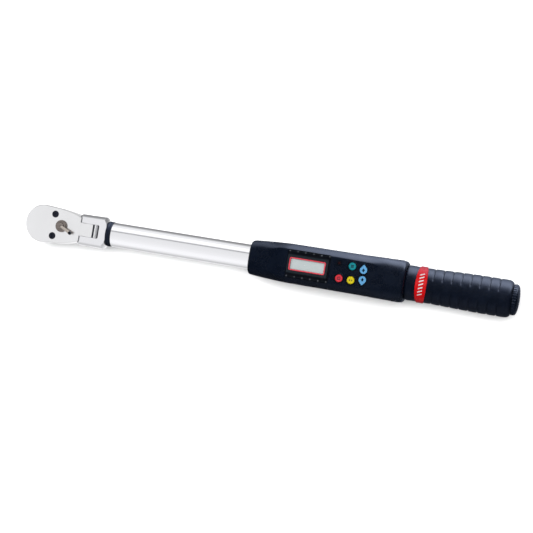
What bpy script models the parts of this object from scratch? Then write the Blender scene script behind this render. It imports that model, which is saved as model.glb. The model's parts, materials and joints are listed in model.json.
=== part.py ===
"""Digital torque wrench with a flexible ratchet head and a 3/8 inch square drive.

Frame: the origin is the centre of the drive square's tip face, +X runs along the
tool towards the grip, and +Z points out of the display. The tool's centre line is
at height AXIS_Z. Sizes are in millimetres and the helpers turn them into metres.
"""
import math

import bmesh
import bpy
from mathutils import Matrix, Vector

MM = 0.001

# ---------------------------------------------------------------- driving dimensions
GAP = 0.25                  # between pieces that rest on each other
RUN = 0.15                  # radial clearance of a shaft in its hole

DRIVE = 9.53                # across the flats of the drive square
DRIVE_LENGTH = 10.7         # from the tip to the underside of the head
HEAD_HALF = 8.5             # half the thickness of the head
AXIS_Z = DRIVE_LENGTH + HEAD_HALF
HEAD_TOP = AXIS_Z + HEAD_HALF

HEAD_R = 17.0               # round end of the head
HEAD_END = 36.0             # end of the face, at the yoke
SHOULDER_Y = 10.3           # half width of the head there
COVER_THICK = 2.35
CAVITY_FLOOR = 13.6
SCREW_X, SCREW_Y = 10.4, 9.85

GEAR_TEETH = 36
GEAR_R, GEAR_ROOT = 11.5, 10.9
BOSS_R = 8.2

LEVER_X = 17.9              # axis of the reversing lever and the pawl
SPINDLE_R = 2.6
LEVER_REST = -25.0          # lever's angle from +X at rest, in degrees
PAWL_REST = 4.0             # pawl's angle at rest

FLEX_X = 43.5               # axis of the flexible head
EAR_R = 11.0                # round ends of the yoke's ears
TONGUE_Y, TONGUE_HALF, TONGUE_END = 5.8, 8.3, 52.0
PIN_R = 3.0

YOKE_HALF = 8.6             # half the height between the yoke's flats
YOKE_REAR, SLOT_END, SLOT_Y = 60.0, 53.35, 6.1
SPIGOT_R = 9.0

TUBE_R, TUBE_BORE = 10.95, 9.3
TUBE_X0, TUBE_X1 = 65.25, 300.0
BEAM_R = 5.5
BEAM_PIN_X, HANDLE_PIN_X = 240.0, 293.0

HOUSING_X0, HOUSING_X1 = 194.3, 332.5
WALL = 2.2
PANEL_Y = 12.3              # half width of the flat panel
PANEL_Z = 2 * AXIS_Z        # the panel is as far above the centre line as the floor is below

WINDOW_X0, WINDOW_X1, WINDOW_Y = 233.2, 263.0, 4.6
PLATE_X0, PLATE_X1, PLATE_Y = 230.0, 267.6, 12.0
BEZEL_WIDTH = 1.0
BOARD_Z = 31.95
KEY_Z0 = 35.1                # underside of a key's flange
ROUND_KEYS = {"key_power": (277.0, -6.0), "key_mode": (287.0, 5.9), "key_units": (287.3, -6.0)}
DROP_KEYS = {"key_up": (297.0, 4.2, 1), "key_down": (297.3, -4.1, -1)}
ROUND_KEY_R, DROP_KEY_R, DROP_TIP = 3.25, 3.15, 5.05
WELL_MARGIN, WELL_DEPTH = 1.2, 0.7
LED_X, LED_Y = 275.4, 7.1
CASE_SCREWS = [(230.0, -13.4), (230.0, 13.4), (318.0, -13.4), (318.0, 13.4)]

HANDLE_R, BATTERY_BORE = 10.7, 7.7
HANDLE_X0, HANDLE_X1 = 286.0, 421.0
GRIP_X0, GRIP_X1, GRIP_BORE = 333.0, 423.0, 10.95
GROOVE_X0, GROOVE_PITCH, GROOVES, GROOVE_DEPTH = 356.3, 7.94, 8, 0.9
BADGE_X, BADGE_R, BADGE_THICK = 346.5, 15.2, 0.6
CELL_R, CELL_LENGTH = 7.1, 50.3
CELL_X0 = 312.6
CAP_X0, CAP_X1, CAP_R, CAP_NOTCHES = 423.3, 429.5, 13.3, 20

# colour, roughness, metallic
FINISHES = {
    "satin_steel": ((0.78, 0.78, 0.79), 0.28, 1.0),
    "chrome": ((0.85, 0.85, 0.87), 0.08, 1.0),
    "gunmetal": ((0.36, 0.33, 0.31), 0.32, 1.0),
    "black_oxide": ((0.02, 0.02, 0.025), 0.45, 0.6),
    "tool_steel": ((0.45, 0.45, 0.46), 0.35, 1.0),
    "spring_steel": ((0.55, 0.55, 0.57), 0.3, 1.0),
    "aluminium": ((0.72, 0.73, 0.75), 0.35, 1.0),
    "brass": ((0.80, 0.62, 0.30), 0.3, 1.0),
    "navy_rubber": ((0.016, 0.02, 0.03), 0.6, 0.0),
    "navy_plastic": ((0.014, 0.018, 0.028), 0.45, 0.0),
    "black_plastic": ((0.008, 0.009, 0.012), 0.4, 0.0),
    "red_plastic": ((0.75, 0.03, 0.04), 0.35, 0.0),
    "teal_rubber": ((0.01, 0.30, 0.33), 0.5, 0.0),
    "yellow_rubber": ((0.90, 0.75, 0.02), 0.5, 0.0),
    "blue_rubber": ((0.16, 0.45, 0.85), 0.5, 0.0),
    "red_rubber": ((0.85, 0.06, 0.08), 0.5, 0.0),
    "grey_silicone": ((0.30, 0.31, 0.33), 0.6, 0.0),
    "board_green": ((0.02, 0.18, 0.08), 0.5, 0.0),
    "lcd_grey": ((0.48, 0.55, 0.55), 0.3, 0.0),
    "clear_lens": ((0.80, 0.84, 0.84), 0.05, 0.0),
    "gauge_foil": ((0.70, 0.45, 0.20), 0.4, 0.3),
    "cable_grey": ((0.25, 0.25, 0.27), 0.5, 0.0),
    "cell_jacket": ((0.05, 0.12, 0.30), 0.35, 0.2),
}


# ---------------------------------------------------------------- scene and helpers
def clear_scene():
    for item in list(bpy.data.objects):
        bpy.data.objects.remove(item, do_unlink=True)


def new_collection(name):
    group = bpy.data.collections.new(name)
    bpy.context.scene.collection.children.link(group)
    return group


def make_material(name):
    colour, roughness, metallic = FINISHES[name]
    material = bpy.data.materials.new(name)
    material.use_nodes = True
    shader = material.node_tree.nodes["Principled BSDF"]
    shader.inputs["Base Color"].default_value = (*colour, 1.0)
    shader.inputs["Roughness"].default_value = roughness
    shader.inputs["Metallic"].default_value = metallic
    return material


clear_scene()
PARTS = new_collection("torque_wrench")
CUTTERS = new_collection("cutters")
MATERIALS = {name: make_material(name) for name in FINISHES}

TURN = {"X": (0.0, math.pi / 2, 0.0), "Y": (-math.pi / 2, 0.0, 0.0), "Z": (0.0, 0.0, 0.0)}


def metres(values):
    return Vector(values) * MM


def place(obj, where=(0, 0, 0), axis="Z", spin=0.0):
    """Put an object's origin at where, with its own Z along axis and a turn about world Z."""
    obj.rotation_euler = TURN[axis]
    obj.rotation_euler.z += math.radians(spin)
    obj.location = metres(where)
    return obj


def add(name, mesh, finish):
    """Add a mesh as a sub-part, or as a cutter when it has no finish."""
    obj = bpy.data.objects.new(name, mesh)
    if finish:
        mesh.materials.append(MATERIALS[finish])
        mesh.shade_smooth()
        mesh.set_sharp_from_angle(angle=math.radians(35))
        PARTS.objects.link(obj)
    else:
        obj.hide_render = True
        obj.display_type = "WIRE"
        CUTTERS.objects.link(obj)
    return obj


def mesh_of(name, build):
    """A mesh filled in by a bmesh function."""
    bm = bmesh.new()
    build(bm)
    mesh = bpy.data.meshes.new(name)
    bm.to_mesh(mesh)
    bm.free()
    return mesh


def cylinder(name, finish, radius, length, where, axis="Z", sides=24, end_radius=None):
    """A cylinder centred at where; end_radius makes the far end differ."""
    far = radius if end_radius is None else end_radius
    mesh = mesh_of(name, lambda bm: bmesh.ops.create_cone(
        bm, cap_ends=True, segments=sides, radius1=radius * MM, radius2=far * MM, depth=length * MM))
    return place(add(name, mesh, finish), where, axis)


def ball(name, finish, radius, where):
    mesh = mesh_of(name, lambda bm: bmesh.ops.create_uvsphere(
        bm, u_segments=12, v_segments=8, radius=radius * MM))
    return place(add(name, mesh, finish), where)


def box(name, finish, low, high):
    """A box between two corners."""
    size = metres(high) - metres(low)
    mesh = mesh_of(name, lambda bm: bmesh.ops.create_cube(bm, size=1.0, matrix=Matrix.Diagonal((*size, 1))))
    middle = [(a + b) / 2 for a, b in zip(low, high)]
    return place(add(name, mesh, finish), middle)


def turned(name, finish, profile, where=(0, 0, 0), axis="X", closed=False, sides=32):
    """Turn a profile of (distance along the axis, radius) points, in rising order outside."""
    points = [(radius * MM, 0.0, along * MM) for along, radius in reversed(profile)]
    edges = [(i, i + 1) for i in range(len(points) - 1)]
    if closed:
        edges.append((len(points) - 1, 0))
    mesh = bpy.data.meshes.new(name)
    mesh.from_pydata(points, edges, [])
    obj = add(name, mesh, finish)
    screw = obj.modifiers.new("turn", "SCREW")
    screw.steps = screw.render_steps = sides
    screw.use_merge_vertices = True
    screw.merge_threshold = 0.000001
    return place(obj, where, axis)


def curve_mesh(name, curve, finish):
    """Turn a curve into a welded mesh object, and remove the curve."""
    source = bpy.data.objects.new(name + "_curve", curve)
    CUTTERS.objects.link(source)
    bpy.context.view_layer.update()
    depsgraph = bpy.context.evaluated_depsgraph_get()
    mesh = bpy.data.meshes.new_from_object(source.evaluated_get(depsgraph))
    bm = bmesh.new()
    bm.from_mesh(mesh)
    bmesh.ops.remove_doubles(bm, verts=bm.verts, dist=0.000001)
    bm.to_mesh(mesh)
    bm.free()
    bpy.data.objects.remove(source, do_unlink=True)
    return add(name, mesh, finish)


def prism(name, finish, outline, low, high, axis="Z", where=(0, 0, 0)):
    """Extrude an outline of (x, y) points from low to high along its own Z."""
    curve = bpy.data.curves.new(name, "CURVE")
    curve.dimensions = "2D"
    curve.fill_mode = "BOTH"
    curve.extrude = (high - low) / 2 * MM
    spline = curve.splines.new("POLY")
    spline.points.add(len(outline) - 1)
    for point, (x, y) in zip(spline.points, outline):
        point.co = (x * MM, y * MM, 0.0, 1.0)
    spline.use_cyclic_u = True
    obj = curve_mesh(name, curve, finish)
    obj.data.transform(Matrix.Translation((0, 0, (low + high) / 2 * MM)))
    return place(obj, where, axis)


def wire(name, finish, points, radius, sides=2):
    """A wire through a list of points, with its ends capped."""
    curve = bpy.data.curves.new(name, "CURVE")
    curve.dimensions = "3D"
    curve.bevel_depth = radius * MM
    curve.bevel_resolution = sides
    curve.use_fill_caps = True
    spline = curve.splines.new("POLY")
    spline.points.add(len(points) - 1)
    for point, place_mm in zip(spline.points, points):
        point.co = (*metres(place_mm), 1.0)
    return curve_mesh(name, curve, finish)


def spring(name, finish, radius, wire_radius, length, turns, where, axis="Z", spin=0.0):
    """A coil spring that rises from where along axis."""
    steps = 8 * turns
    points = []
    for i in range(steps + 1):
        angle = 2 * math.pi * i / 8
        points.append((radius * math.cos(angle), radius * math.sin(angle), length * i / steps))
    return place(wire(name, finish, points, wire_radius, 0), where, axis, spin)


def loft(name, finish, sections, closed_loop=False):
    """Skin a row of sections that have the same number of points, and cap or close its ends."""
    def build(bm):
        rings = [[bm.verts.new(metres(p)) for p in section] for section in sections]
        pairs = list(zip(rings, rings[1:]))
        if closed_loop:
            pairs.append((rings[-1], rings[0]))
        for near, far in pairs:
            for i in range(len(near)):
                j = (i + 1) % len(near)
                bm.faces.new((near[i], near[j], far[j], far[i]))
        if not closed_loop:
            bm.faces.new(list(reversed(rings[0])))
            bm.faces.new(rings[-1])
        bmesh.ops.recalc_face_normals(bm, faces=bm.faces)
    return add(name, mesh_of(name, build), finish)


def combine(obj, other, operation):
    modifier = obj.modifiers.new(other.name, "BOOLEAN")
    modifier.operation = operation
    modifier.solver = "EXACT"
    modifier.object = other


def cut(obj, *cutters):
    for cutter in cutters:
        combine(obj, cutter, "DIFFERENCE")


def join(obj, *others):
    for other in others:
        combine(obj, other, "UNION")


def soften_rim(obj, level, width, segments=2):
    """Bevel the edges of an extruded outline at one end, given by its own height."""
    bm = bmesh.new()
    bm.from_mesh(obj.data)
    rim = [edge for edge in bm.edges
           if all(abs(v.co.z - level * MM) < 0.00001 for v in edge.verts)
           and edge.calc_face_angle(0.0) > 0.5]
    bmesh.ops.bevel(bm, geom=rim, offset=width * MM, segments=segments, profile=0.5, affect="EDGES")
    bm.to_mesh(obj.data)
    bm.free()


def soften_all(obj, width, segments=2, angle=30):
    bevel = obj.modifiers.new("soft_edges", "BEVEL")
    bevel.width = width * MM
    bevel.segments = segments
    bevel.limit_method = "ANGLE"
    bevel.angle_limit = math.radians(angle)


def arc(centre, radius, start, end, steps):
    """Points along an arc, in degrees, both ends included."""
    angles = [math.radians(start + (end - start) * i / steps) for i in range(steps + 1)]
    return [(centre[0] + radius * math.cos(a), centre[1] + radius * math.sin(a)) for a in angles]


def bezier(p0, p1, p2, p3, steps):
    points = []
    for i in range(steps + 1):
        t = i / steps
        weights = ((1 - t) ** 3, 3 * t * (1 - t) ** 2, 3 * t * t * (1 - t), t ** 3)
        points.append(tuple(sum(w * p[k] for w, p in zip(weights, (p0, p1, p2, p3))) for k in (0, 1)))
    return points


def round_rectangle(x0, y0, x1, y1, radius, steps=4):
    corners = [(x1 - radius, y1 - radius, 0), (x0 + radius, y1 - radius, 90),
               (x0 + radius, y0 + radius, 180), (x1 - radius, y0 + radius, 270)]
    points = []
    for x, y, start in corners:
        points += arc((x, y), radius, start, start + 90, steps)
    return points


def joint_frame(name, where):
    """An empty on a joint's axis, which the moving pieces hang from."""
    empty = bpy.data.objects.new(name, None)
    empty.empty_display_size = 0.01
    empty.location = metres(where)
    PARTS.objects.link(empty)
    return empty


def hang(frame, pieces, parent=None):
    """Parent pieces to a joint's empty, which itself may hang from another one."""
    for piece in pieces:
        piece.parent = frame
        piece.matrix_parent_inverse = Matrix.Translation(frame.location).inverted()
    if parent:
        frame.parent = parent
        frame.matrix_parent_inverse = Matrix.Translation(parent.location).inverted()


# ---------------------------------------------------------------- ratchet head
def head_outline(end_x):
    """The teardrop outline of the head, squared off at end_x."""
    side = bezier((2.95, 16.74), (14.0, 15.6), (26.0, 15.4), (HEAD_END, SHOULDER_Y), 6)
    lower = [(x, -y) for x, y in side]
    points = arc((0, 0), HEAD_R, 80, 280, 16) + lower[1:] + list(reversed(side))[:-1]
    if end_x > HEAD_END:
        at = points.index(lower[-1])
        points[at + 1:at + 1] = [(end_x, -SHOULDER_Y), (end_x, SHOULDER_Y)]
    return points


def ear_reliefs(name):
    """Two round cutters that make room for the yoke's ears."""
    reliefs = []
    for side in (-1, 1):
        centre = (FLEX_X, side * (TONGUE_Y + 10), AXIS_Z)
        reliefs.append(cylinder(f"{name}_{side}", None, EAR_R + 0.35, 20, centre, "Y", sides=40))
    return reliefs


def make_head_body():
    top = HEAD_TOP - COVER_THICK - GAP
    body = prism("head_body", "satin_steel", head_outline(HEAD_END + 2), DRIVE_LENGTH, top)
    soften_rim(body, DRIVE_LENGTH, 0.8)
    reliefs = ear_reliefs("body_relief")
    riser = HEAD_END + GAP
    corner = 5.2
    profile = [(30.0, -TONGUE_HALF)]
    profile += arc((TONGUE_END - corner, corner - TONGUE_HALF), corner, -90, 0, 6)
    profile += arc((TONGUE_END - corner, TONGUE_HALF - corner), corner, 0, 90, 6)
    profile += [(riser, TONGUE_HALF), (riser, top - AXIS_Z - 1.0), (30.0, top - AXIS_Z - 1.0)]
    tongue = prism("tongue_solid", None, profile, -TONGUE_Y, TONGUE_Y)
    tongue.rotation_euler = (math.pi / 2, 0, 0)
    tongue.location = metres((0, 0, AXIS_Z))
    cut(body, *reliefs)
    join(body, tongue)
    pawl_room = [(8.0, 7.6), (12.1, 8.2), (15.2, 7.3), (18.8, 5.4)]
    pawl_room += arc((LEVER_X, 0), 5.3, 70, -70, 10)
    pawl_room += [(x, -y) for x, y in ((18.8, 5.4), (15.2, 7.3), (12.1, 8.2), (8.0, 7.6))]
    cut(body,
        cylinder("gear_room", None, GEAR_R + 0.3, 20, (0, 0, CAVITY_FLOOR + 10), sides=36),
        cylinder("boss_hole", None, BOSS_R + RUN, 10, (0, 0, CAVITY_FLOOR - 2), sides=28),
        prism("pawl_room", None, pawl_room, CAVITY_FLOOR, 30),
        cylinder("spindle_seat", None, SPINDLE_R + RUN, 4, (LEVER_X, 0, CAVITY_FLOOR), sides=16),
        cylinder("flex_hole", None, PIN_R + RUN, 30, (FLEX_X, 0, AXIS_Z), "Y", sides=32))
    for side in (-1, 1):
        cut(body, cylinder(f"tapped_{side}", None, 1.15, 12, (SCREW_X, side * SCREW_Y, 22), sides=10))
    return body


def make_cover_plate():
    low = HEAD_TOP - COVER_THICK
    plate = prism("cover_plate", "satin_steel", head_outline(HEAD_END), low, HEAD_TOP)
    soften_rim(plate, HEAD_TOP, 0.6)
    cut(plate, *ear_reliefs("cover_relief"))
    cut(plate, cylinder("lever_hole", None, SPINDLE_R + RUN, 10, (LEVER_X, 0, low), sides=20))
    for side in (-1, 1):
        place_xy = (SCREW_X, side * SCREW_Y)
        cut(plate, cylinder(f"counterbore_{side}", None, 3.05, 3, (*place_xy, HEAD_TOP), sides=20),
            cylinder(f"screw_hole_{side}", None, 1.2, 10, (*place_xy, low), sides=10))
    return plate


def make_cover_screw(name, side):
    profile = [(-9.0, 0), (-9.0, 1.0), (-1.45, 1.0), (-1.35, 2.7), (-1.2, 2.85), (-0.2, 2.85), (0, 2.6), (0, 0)]
    where = (SCREW_X, side * SCREW_Y, HEAD_TOP - 0.05)
    screw = turned(name, "black_oxide", profile, where, "Z", sides=16)
    socket = cylinder(name + "_socket", None, 1.35, 1.6, where, sides=6)
    cut(screw, socket)
    return screw


def gear_outline(tip, root):
    points = []
    pitch = 360 / GEAR_TEETH
    for k in range(GEAR_TEETH):
        for offset, radius in ((0.0, root), (0.4, tip), (0.6, tip)):
            angle = math.radians((k + offset) * pitch)
            points.append((radius * math.cos(angle), radius * math.sin(angle)))
    return points


def make_drive_anvil():
    anvil = prism("drive_anvil", "satin_steel", gear_outline(GEAR_R, GEAR_ROOT), 13.9, 24.8)
    boss = cylinder("anvil_boss", None, BOSS_R, 4.5, (0, 0, 12.65), sides=28)
    half = DRIVE / 2
    square = prism("anvil_square", None, round_rectangle(-half, -half, half, half, 0.8, 2), 0, 12)
    soften_rim(square, 0, 0.6, 1)
    join(anvil, boss, square)
    cut(anvil, cylinder("detent_hole", None, 1.75, 8, (2.5, 0, 4.6), "X", sides=12))
    return anvil


def make_socket_detent():
    return [ball("socket_detent_ball", "tool_steel", 1.6, (3.85, 0, 4.6)),
            spring("socket_detent_spring", "spring_steel", 1.1, 0.22, 2.1, 3, (-1.1, 0, 4.6), "X")]


def make_pawl():
    outline = arc((0, 0), 10.6, -33, 33, 9)
    outline += [(11.3, 7.2), (14.2, 6.4), (18.2, 4.6)]
    outline += arc((LEVER_X, 0), 4.6, 75, -75, 10)
    outline += [(18.2, -4.6), (14.2, -6.4), (11.3, -7.2)]
    outline = [(x - LEVER_X, y) for x, y in outline]
    pawl = prism("pawl", "tool_steel", outline, 14.0, 24.6, where=(LEVER_X, 0, 0))
    pawl.rotation_euler.z = math.radians(PAWL_REST)
    teeth = [(x - LEVER_X, y) for x, y in gear_outline(GEAR_R + RUN, GEAR_ROOT + RUN)]
    for swing in range(round(2 * PAWL_REST) + 1):
        gear = prism(f"gear_shape_{swing}", None, teeth, 12, 27, where=(LEVER_X, 0, 0))
        gear.rotation_euler.z = math.radians(swing)
        cut(pawl, gear)
    cut(pawl, cylinder("pawl_hole", None, SPINDLE_R + RUN, 20, (LEVER_X, 0, 19), sides=20))
    cut(pawl, cylinder("ball_track", None, 3.5, 2.4, (LEVER_X, 0, AXIS_Z), sides=20))
    return pawl


def make_reverse_lever():
    """Spindle and thumb disc in one piece, with the stem's socket at the top."""
    disc = HEAD_TOP + GAP
    profile = [(12.0, 0), (12.0, SPINDLE_R), (disc, SPINDLE_R), (disc, 5.45), (disc + 0.9, 5.45),
               (disc + 1.1, 4.6), (disc + 1.7, 4.3), (disc + 1.8, 2.9), (disc + 3.0, 2.6),
               (disc + 3.7, 1.5), (disc + 3.8, 0)]
    lever = turned("reverse_lever", "gunmetal", profile, (LEVER_X, 0, 0), "Z", sides=24)
    toward_gear = math.radians(180 + LEVER_REST)
    middle = (LEVER_X + 2.4 * math.cos(toward_gear), 2.4 * math.sin(toward_gear), 19.2)
    bore = place(cylinder("ball_bore", None, 1.05, 5.0, (0, 0, 0), sides=16), middle, "X", 180 + LEVER_REST)
    cut(lever, bore, stem_piece("stem_socket", None, 1.4, 0.9, 9.0))
    return lever


def stem_piece(name, finish, radius, start, end, sides=12):
    """A rod along the lever's stem line, which leaves the disc and rises by 11 degrees."""
    rise, turn = math.radians(11.3), math.radians(LEVER_REST)
    direction = Vector((math.cos(rise) * math.cos(turn), math.cos(rise) * math.sin(turn), math.sin(rise)))
    root = Vector((LEVER_X, 0, HEAD_TOP + 2.6))
    rod = cylinder(name, finish, radius, end - start, (0, 0, 0), sides=sides)
    rod.rotation_euler = direction.to_track_quat("Z", "Y").to_euler()
    rod.location = metres(root + direction * (start + end) / 2)
    return rod


def make_lever_stem():
    stem = stem_piece("lever_stem", "chrome", 1.2, 1.2, 12.0)
    tip = stem_piece("lever_tip", "black_plastic", 1.55, 10.9, 13.0)
    soften_all(tip, 0.35)
    cut(tip, stem_piece("tip_socket", None, 1.35, 10.0, 12.2))
    return stem, tip


def make_pawl_detent():
    angle = math.radians(180 + LEVER_REST)
    reach = Vector((math.cos(angle), math.sin(angle), 0))
    centre = Vector((LEVER_X, 0, 19.2))
    return [ball("pawl_detent_ball", "tool_steel", 0.9, centre + reach * 2.45),
            spring("pawl_detent_spring", "spring_steel", 0.7, 0.15, 1.2, 3,
                   centre + reach * 0.15, "X", 180 + LEVER_REST)]


# ---------------------------------------------------------------- yoke and front tube
def make_yoke():
    profile = [(31.0, 0), (31.0, 10.8), (34.4, 14.2), (57.4, 14.5), (YOKE_REAR, 11.3),
               (YOKE_REAR, SPIGOT_R), (76.0, SPIGOT_R), (76.0, 0)]
    yoke = turned("yoke", "chrome", profile, (0, 0, AXIS_Z), sides=48)
    start = math.degrees(math.acos(-math.sqrt(EAR_R ** 2 - YOKE_HALF ** 2) / EAR_R))
    side_view = arc((FLEX_X, 0), EAR_R, start, 360 - start, 10)
    side_view += [(YOKE_REAR, -YOKE_HALF), (YOKE_REAR + 0.2, -9.4), (78, -9.4), (78, 9.4),
                  (YOKE_REAR + 0.2, 9.4), (YOKE_REAR, YOKE_HALF)]
    flats = prism("yoke_flats", None, side_view, -20, 20)
    flats.rotation_euler = (math.pi / 2, 0, 0)
    flats.location = metres((0, 0, AXIS_Z))
    combine(yoke, flats, "INTERSECT")
    slot = round_rectangle(20.0, -SLOT_Y, SLOT_END, SLOT_Y, 1.2)
    cut(yoke, prism("yoke_slot", None, slot, 5, 35),
        cylinder("pin_hole", None, PIN_R + RUN, 40, (FLEX_X, 0, AXIS_Z), "Y", sides=24),
        cylinder("plunger_bore", None, 2.15, 10, (55.5, 0, AXIS_Z), "X", sides=24),
        cylinder("beam_bore", None, BEAM_R + RUN, 20, (72.0, 0, AXIS_Z), "X", sides=32))
    return yoke


def make_flex_parts():
    pin = cylinder("flex_pin", "gunmetal", PIN_R, 25.6, (FLEX_X, 0, AXIS_Z), "Y", sides=32)
    soften_all(pin, 0.4)
    nose = [(52.75, 0), (52.95, 0.9), (53.6, 1.7), (54.2, 1.95), (56.6, 1.95), (56.6, 0)]
    plunger = turned("flex_plunger", "tool_steel", nose, (0, 0, AXIS_Z), sides=20)
    coil = spring("flex_spring", "spring_steel", 1.45, 0.25, 2.5, 3, (57.6, 0, AXIS_Z), "X")
    return [pin, plunger, coil]


def make_seal_ring():
    outer, inner = 11.2, SPIGOT_R + 0.25
    profile = [(60.35, inner), (60.35, outer - 0.5), (60.7, outer), (64.7, outer), (65.0, outer - 0.4),
               (65.0, inner)]
    return turned("yoke_seal_ring", "navy_rubber", profile, (0, 0, AXIS_Z), closed=True, sides=36)


def make_front_tube():
    profile = [(TUBE_X0, TUBE_BORE), (TUBE_X0, TUBE_R - 0.3), (TUBE_X0 + 0.3, TUBE_R), (TUBE_X1, TUBE_R),
               (TUBE_X1, TUBE_BORE)]
    tube = turned("front_tube", "chrome", profile, (0, 0, AXIS_Z), closed=True, sides=40)
    cut(tube, cylinder("beam_pin_hole", None, 2.15, 30, (BEAM_PIN_X, 0, AXIS_Z), "Y", sides=12),
        cylinder("handle_pin_hole", None, 2.15, 30, (HANDLE_PIN_X, 0, AXIS_Z), "Y", sides=12),
        cylinder("cable_hole", None, 2.2, 10, (228.6, 0, AXIS_Z + 11), sides=16))
    return tube


def make_beam_parts():
    profile = [(62.6, 0), (62.6, BEAM_R - 0.5), (63.1, BEAM_R), (247.5, BEAM_R), (248, BEAM_R - 0.5), (248, 0)]
    beam = turned("sensor_beam", "tool_steel", profile, (0, 0, AXIS_Z), sides=24)
    gauges = []
    for side in (-1, 1):
        cut(beam, box(f"gauge_flat_{side}", None, (88, side * 7 - 3, 5), (118, side * 7 + 3, 35)))
        low, high = sorted((side * 4.2, side * 4.6))
        name = "strain_gauge_left" if side > 0 else "strain_gauge_right"
        gauges.append(box(name, "gauge_foil", (98, low, AXIS_Z - 2), (108, high, AXIS_Z + 2)))
    cut(beam, cylinder("beam_cross_hole", None, 2.15, 20, (BEAM_PIN_X, 0, AXIS_Z), "Y", sides=20))
    pin = cylinder("beam_anchor_pin", "tool_steel", 2.0, 21, (BEAM_PIN_X, 0, AXIS_Z), "Y", sides=20)
    return [beam, *gauges, pin]


def make_sensor_cable():
    """Runs from the gauges along the top of the beam and out to the circuit board."""
    route = [(108.6, 5.2, AXIS_Z + 0.5), (112.0, 5.4, AXIS_Z + 1.5), (118.0, 5.2, AXIS_Z + 4.5),
             (126.0, 3.6, AXIS_Z + 6.4), (136.0, 1.6, AXIS_Z + 7.3), (150.0, 0.4, AXIS_Z + 7.5),
             (175.0, 0.0, AXIS_Z + 7.5), (200.0, 0.0, AXIS_Z + 7.5), (221.0, 0.0, AXIS_Z + 7.5),
             (225.8, 0.0, AXIS_Z + 7.7), (228.0, 0.0, AXIS_Z + 8.7), (229.0, 0.0, AXIS_Z + 10.4),
             (229.0, 0.0, BOARD_Z - GAP)]
    return wire("sensor_cable", "cable_grey", route, 0.7)


# ---------------------------------------------------------------- housing
# x, half width, half height, half width of the flat, height of the round corner
HOUSING_SECTIONS = [
    (194.3, 13.7, 12.3, 3.0, 9.4), (195.6, 14.9, 13.4, 3.5, 10.0), (203.0, 15.8, 14.0, 5.0, 10.4),
    (210.0, 16.3, 14.7, 7.5, 10.6), (216.0, 16.65, 15.8, 10.0, 10.2), (222.0, 16.9, 17.6, 11.6, 9.2),
    (228.0, 17.1, 18.9, 12.2, 8.3), (233.0, 17.2, AXIS_Z, PANEL_Y, 8.0),
    (266.0, 17.35, AXIS_Z, PANEL_Y, 8.0), (295.0, 17.5, AXIS_Z, PANEL_Y, 8.0),
    (320.0, 17.9, AXIS_Z, PANEL_Y, 8.0), (329.0, 18.2, 19.0, 12.3, 8.0),
    (331.4, 17.6, 18.3, 12.0, 8.2), (332.5, 16.0, 16.8, 11.0, 8.6)]


def housing_ring(x, half_width, half_height, flat, corner, inset=0.0, steps=4):
    """One cross section: flat top and bottom, straight sides and elliptical corners.

    The corners at the back are larger than those round the panel.
    """
    def quarter(flat_y, corner_z):
        points = []
        for i in range(steps + 1):
            angle = math.pi / 2 * i / steps
            y = flat_y - inset * 0.3 + (half_width - flat_y - inset * 0.7) * math.sin(angle)
            z = half_height - corner_z + (corner_z - inset) * math.cos(angle)
            points.append((y, z))
        return points

    right = quarter(flat, corner)
    right += [(y, -z) for y, z in reversed(quarter(flat * 0.85, corner * 1.12))]
    left = [(-y, z) for y, z in reversed(right)]
    return [(x, y, AXIS_Z + z) for y, z in right + left]


def housing_solid(name, finish, inset=0.0):
    sections = HOUSING_SECTIONS if not inset else HOUSING_SECTIONS[2:-2]
    return loft(name, finish, [housing_ring(*section, inset=inset) for section in sections])


def drop_outline(x, y, side, radius, tip):
    """A round key with one pointed side, along +Y or -Y."""
    tangent = math.degrees(math.acos(radius / tip))
    points = arc((0, 0), radius, 90 - tangent, -270 + tangent, 14)
    points.append((0.0, tip))
    return [(x + px, y + side * py) for px, py in points]


def case_screw_cutters(name, radius, low, high):
    return [cylinder(f"{name}_{i}", None, radius, high - low, (x, y, (low + high) / 2), sides=12)
            for i, (x, y) in enumerate(CASE_SCREWS)]


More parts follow.
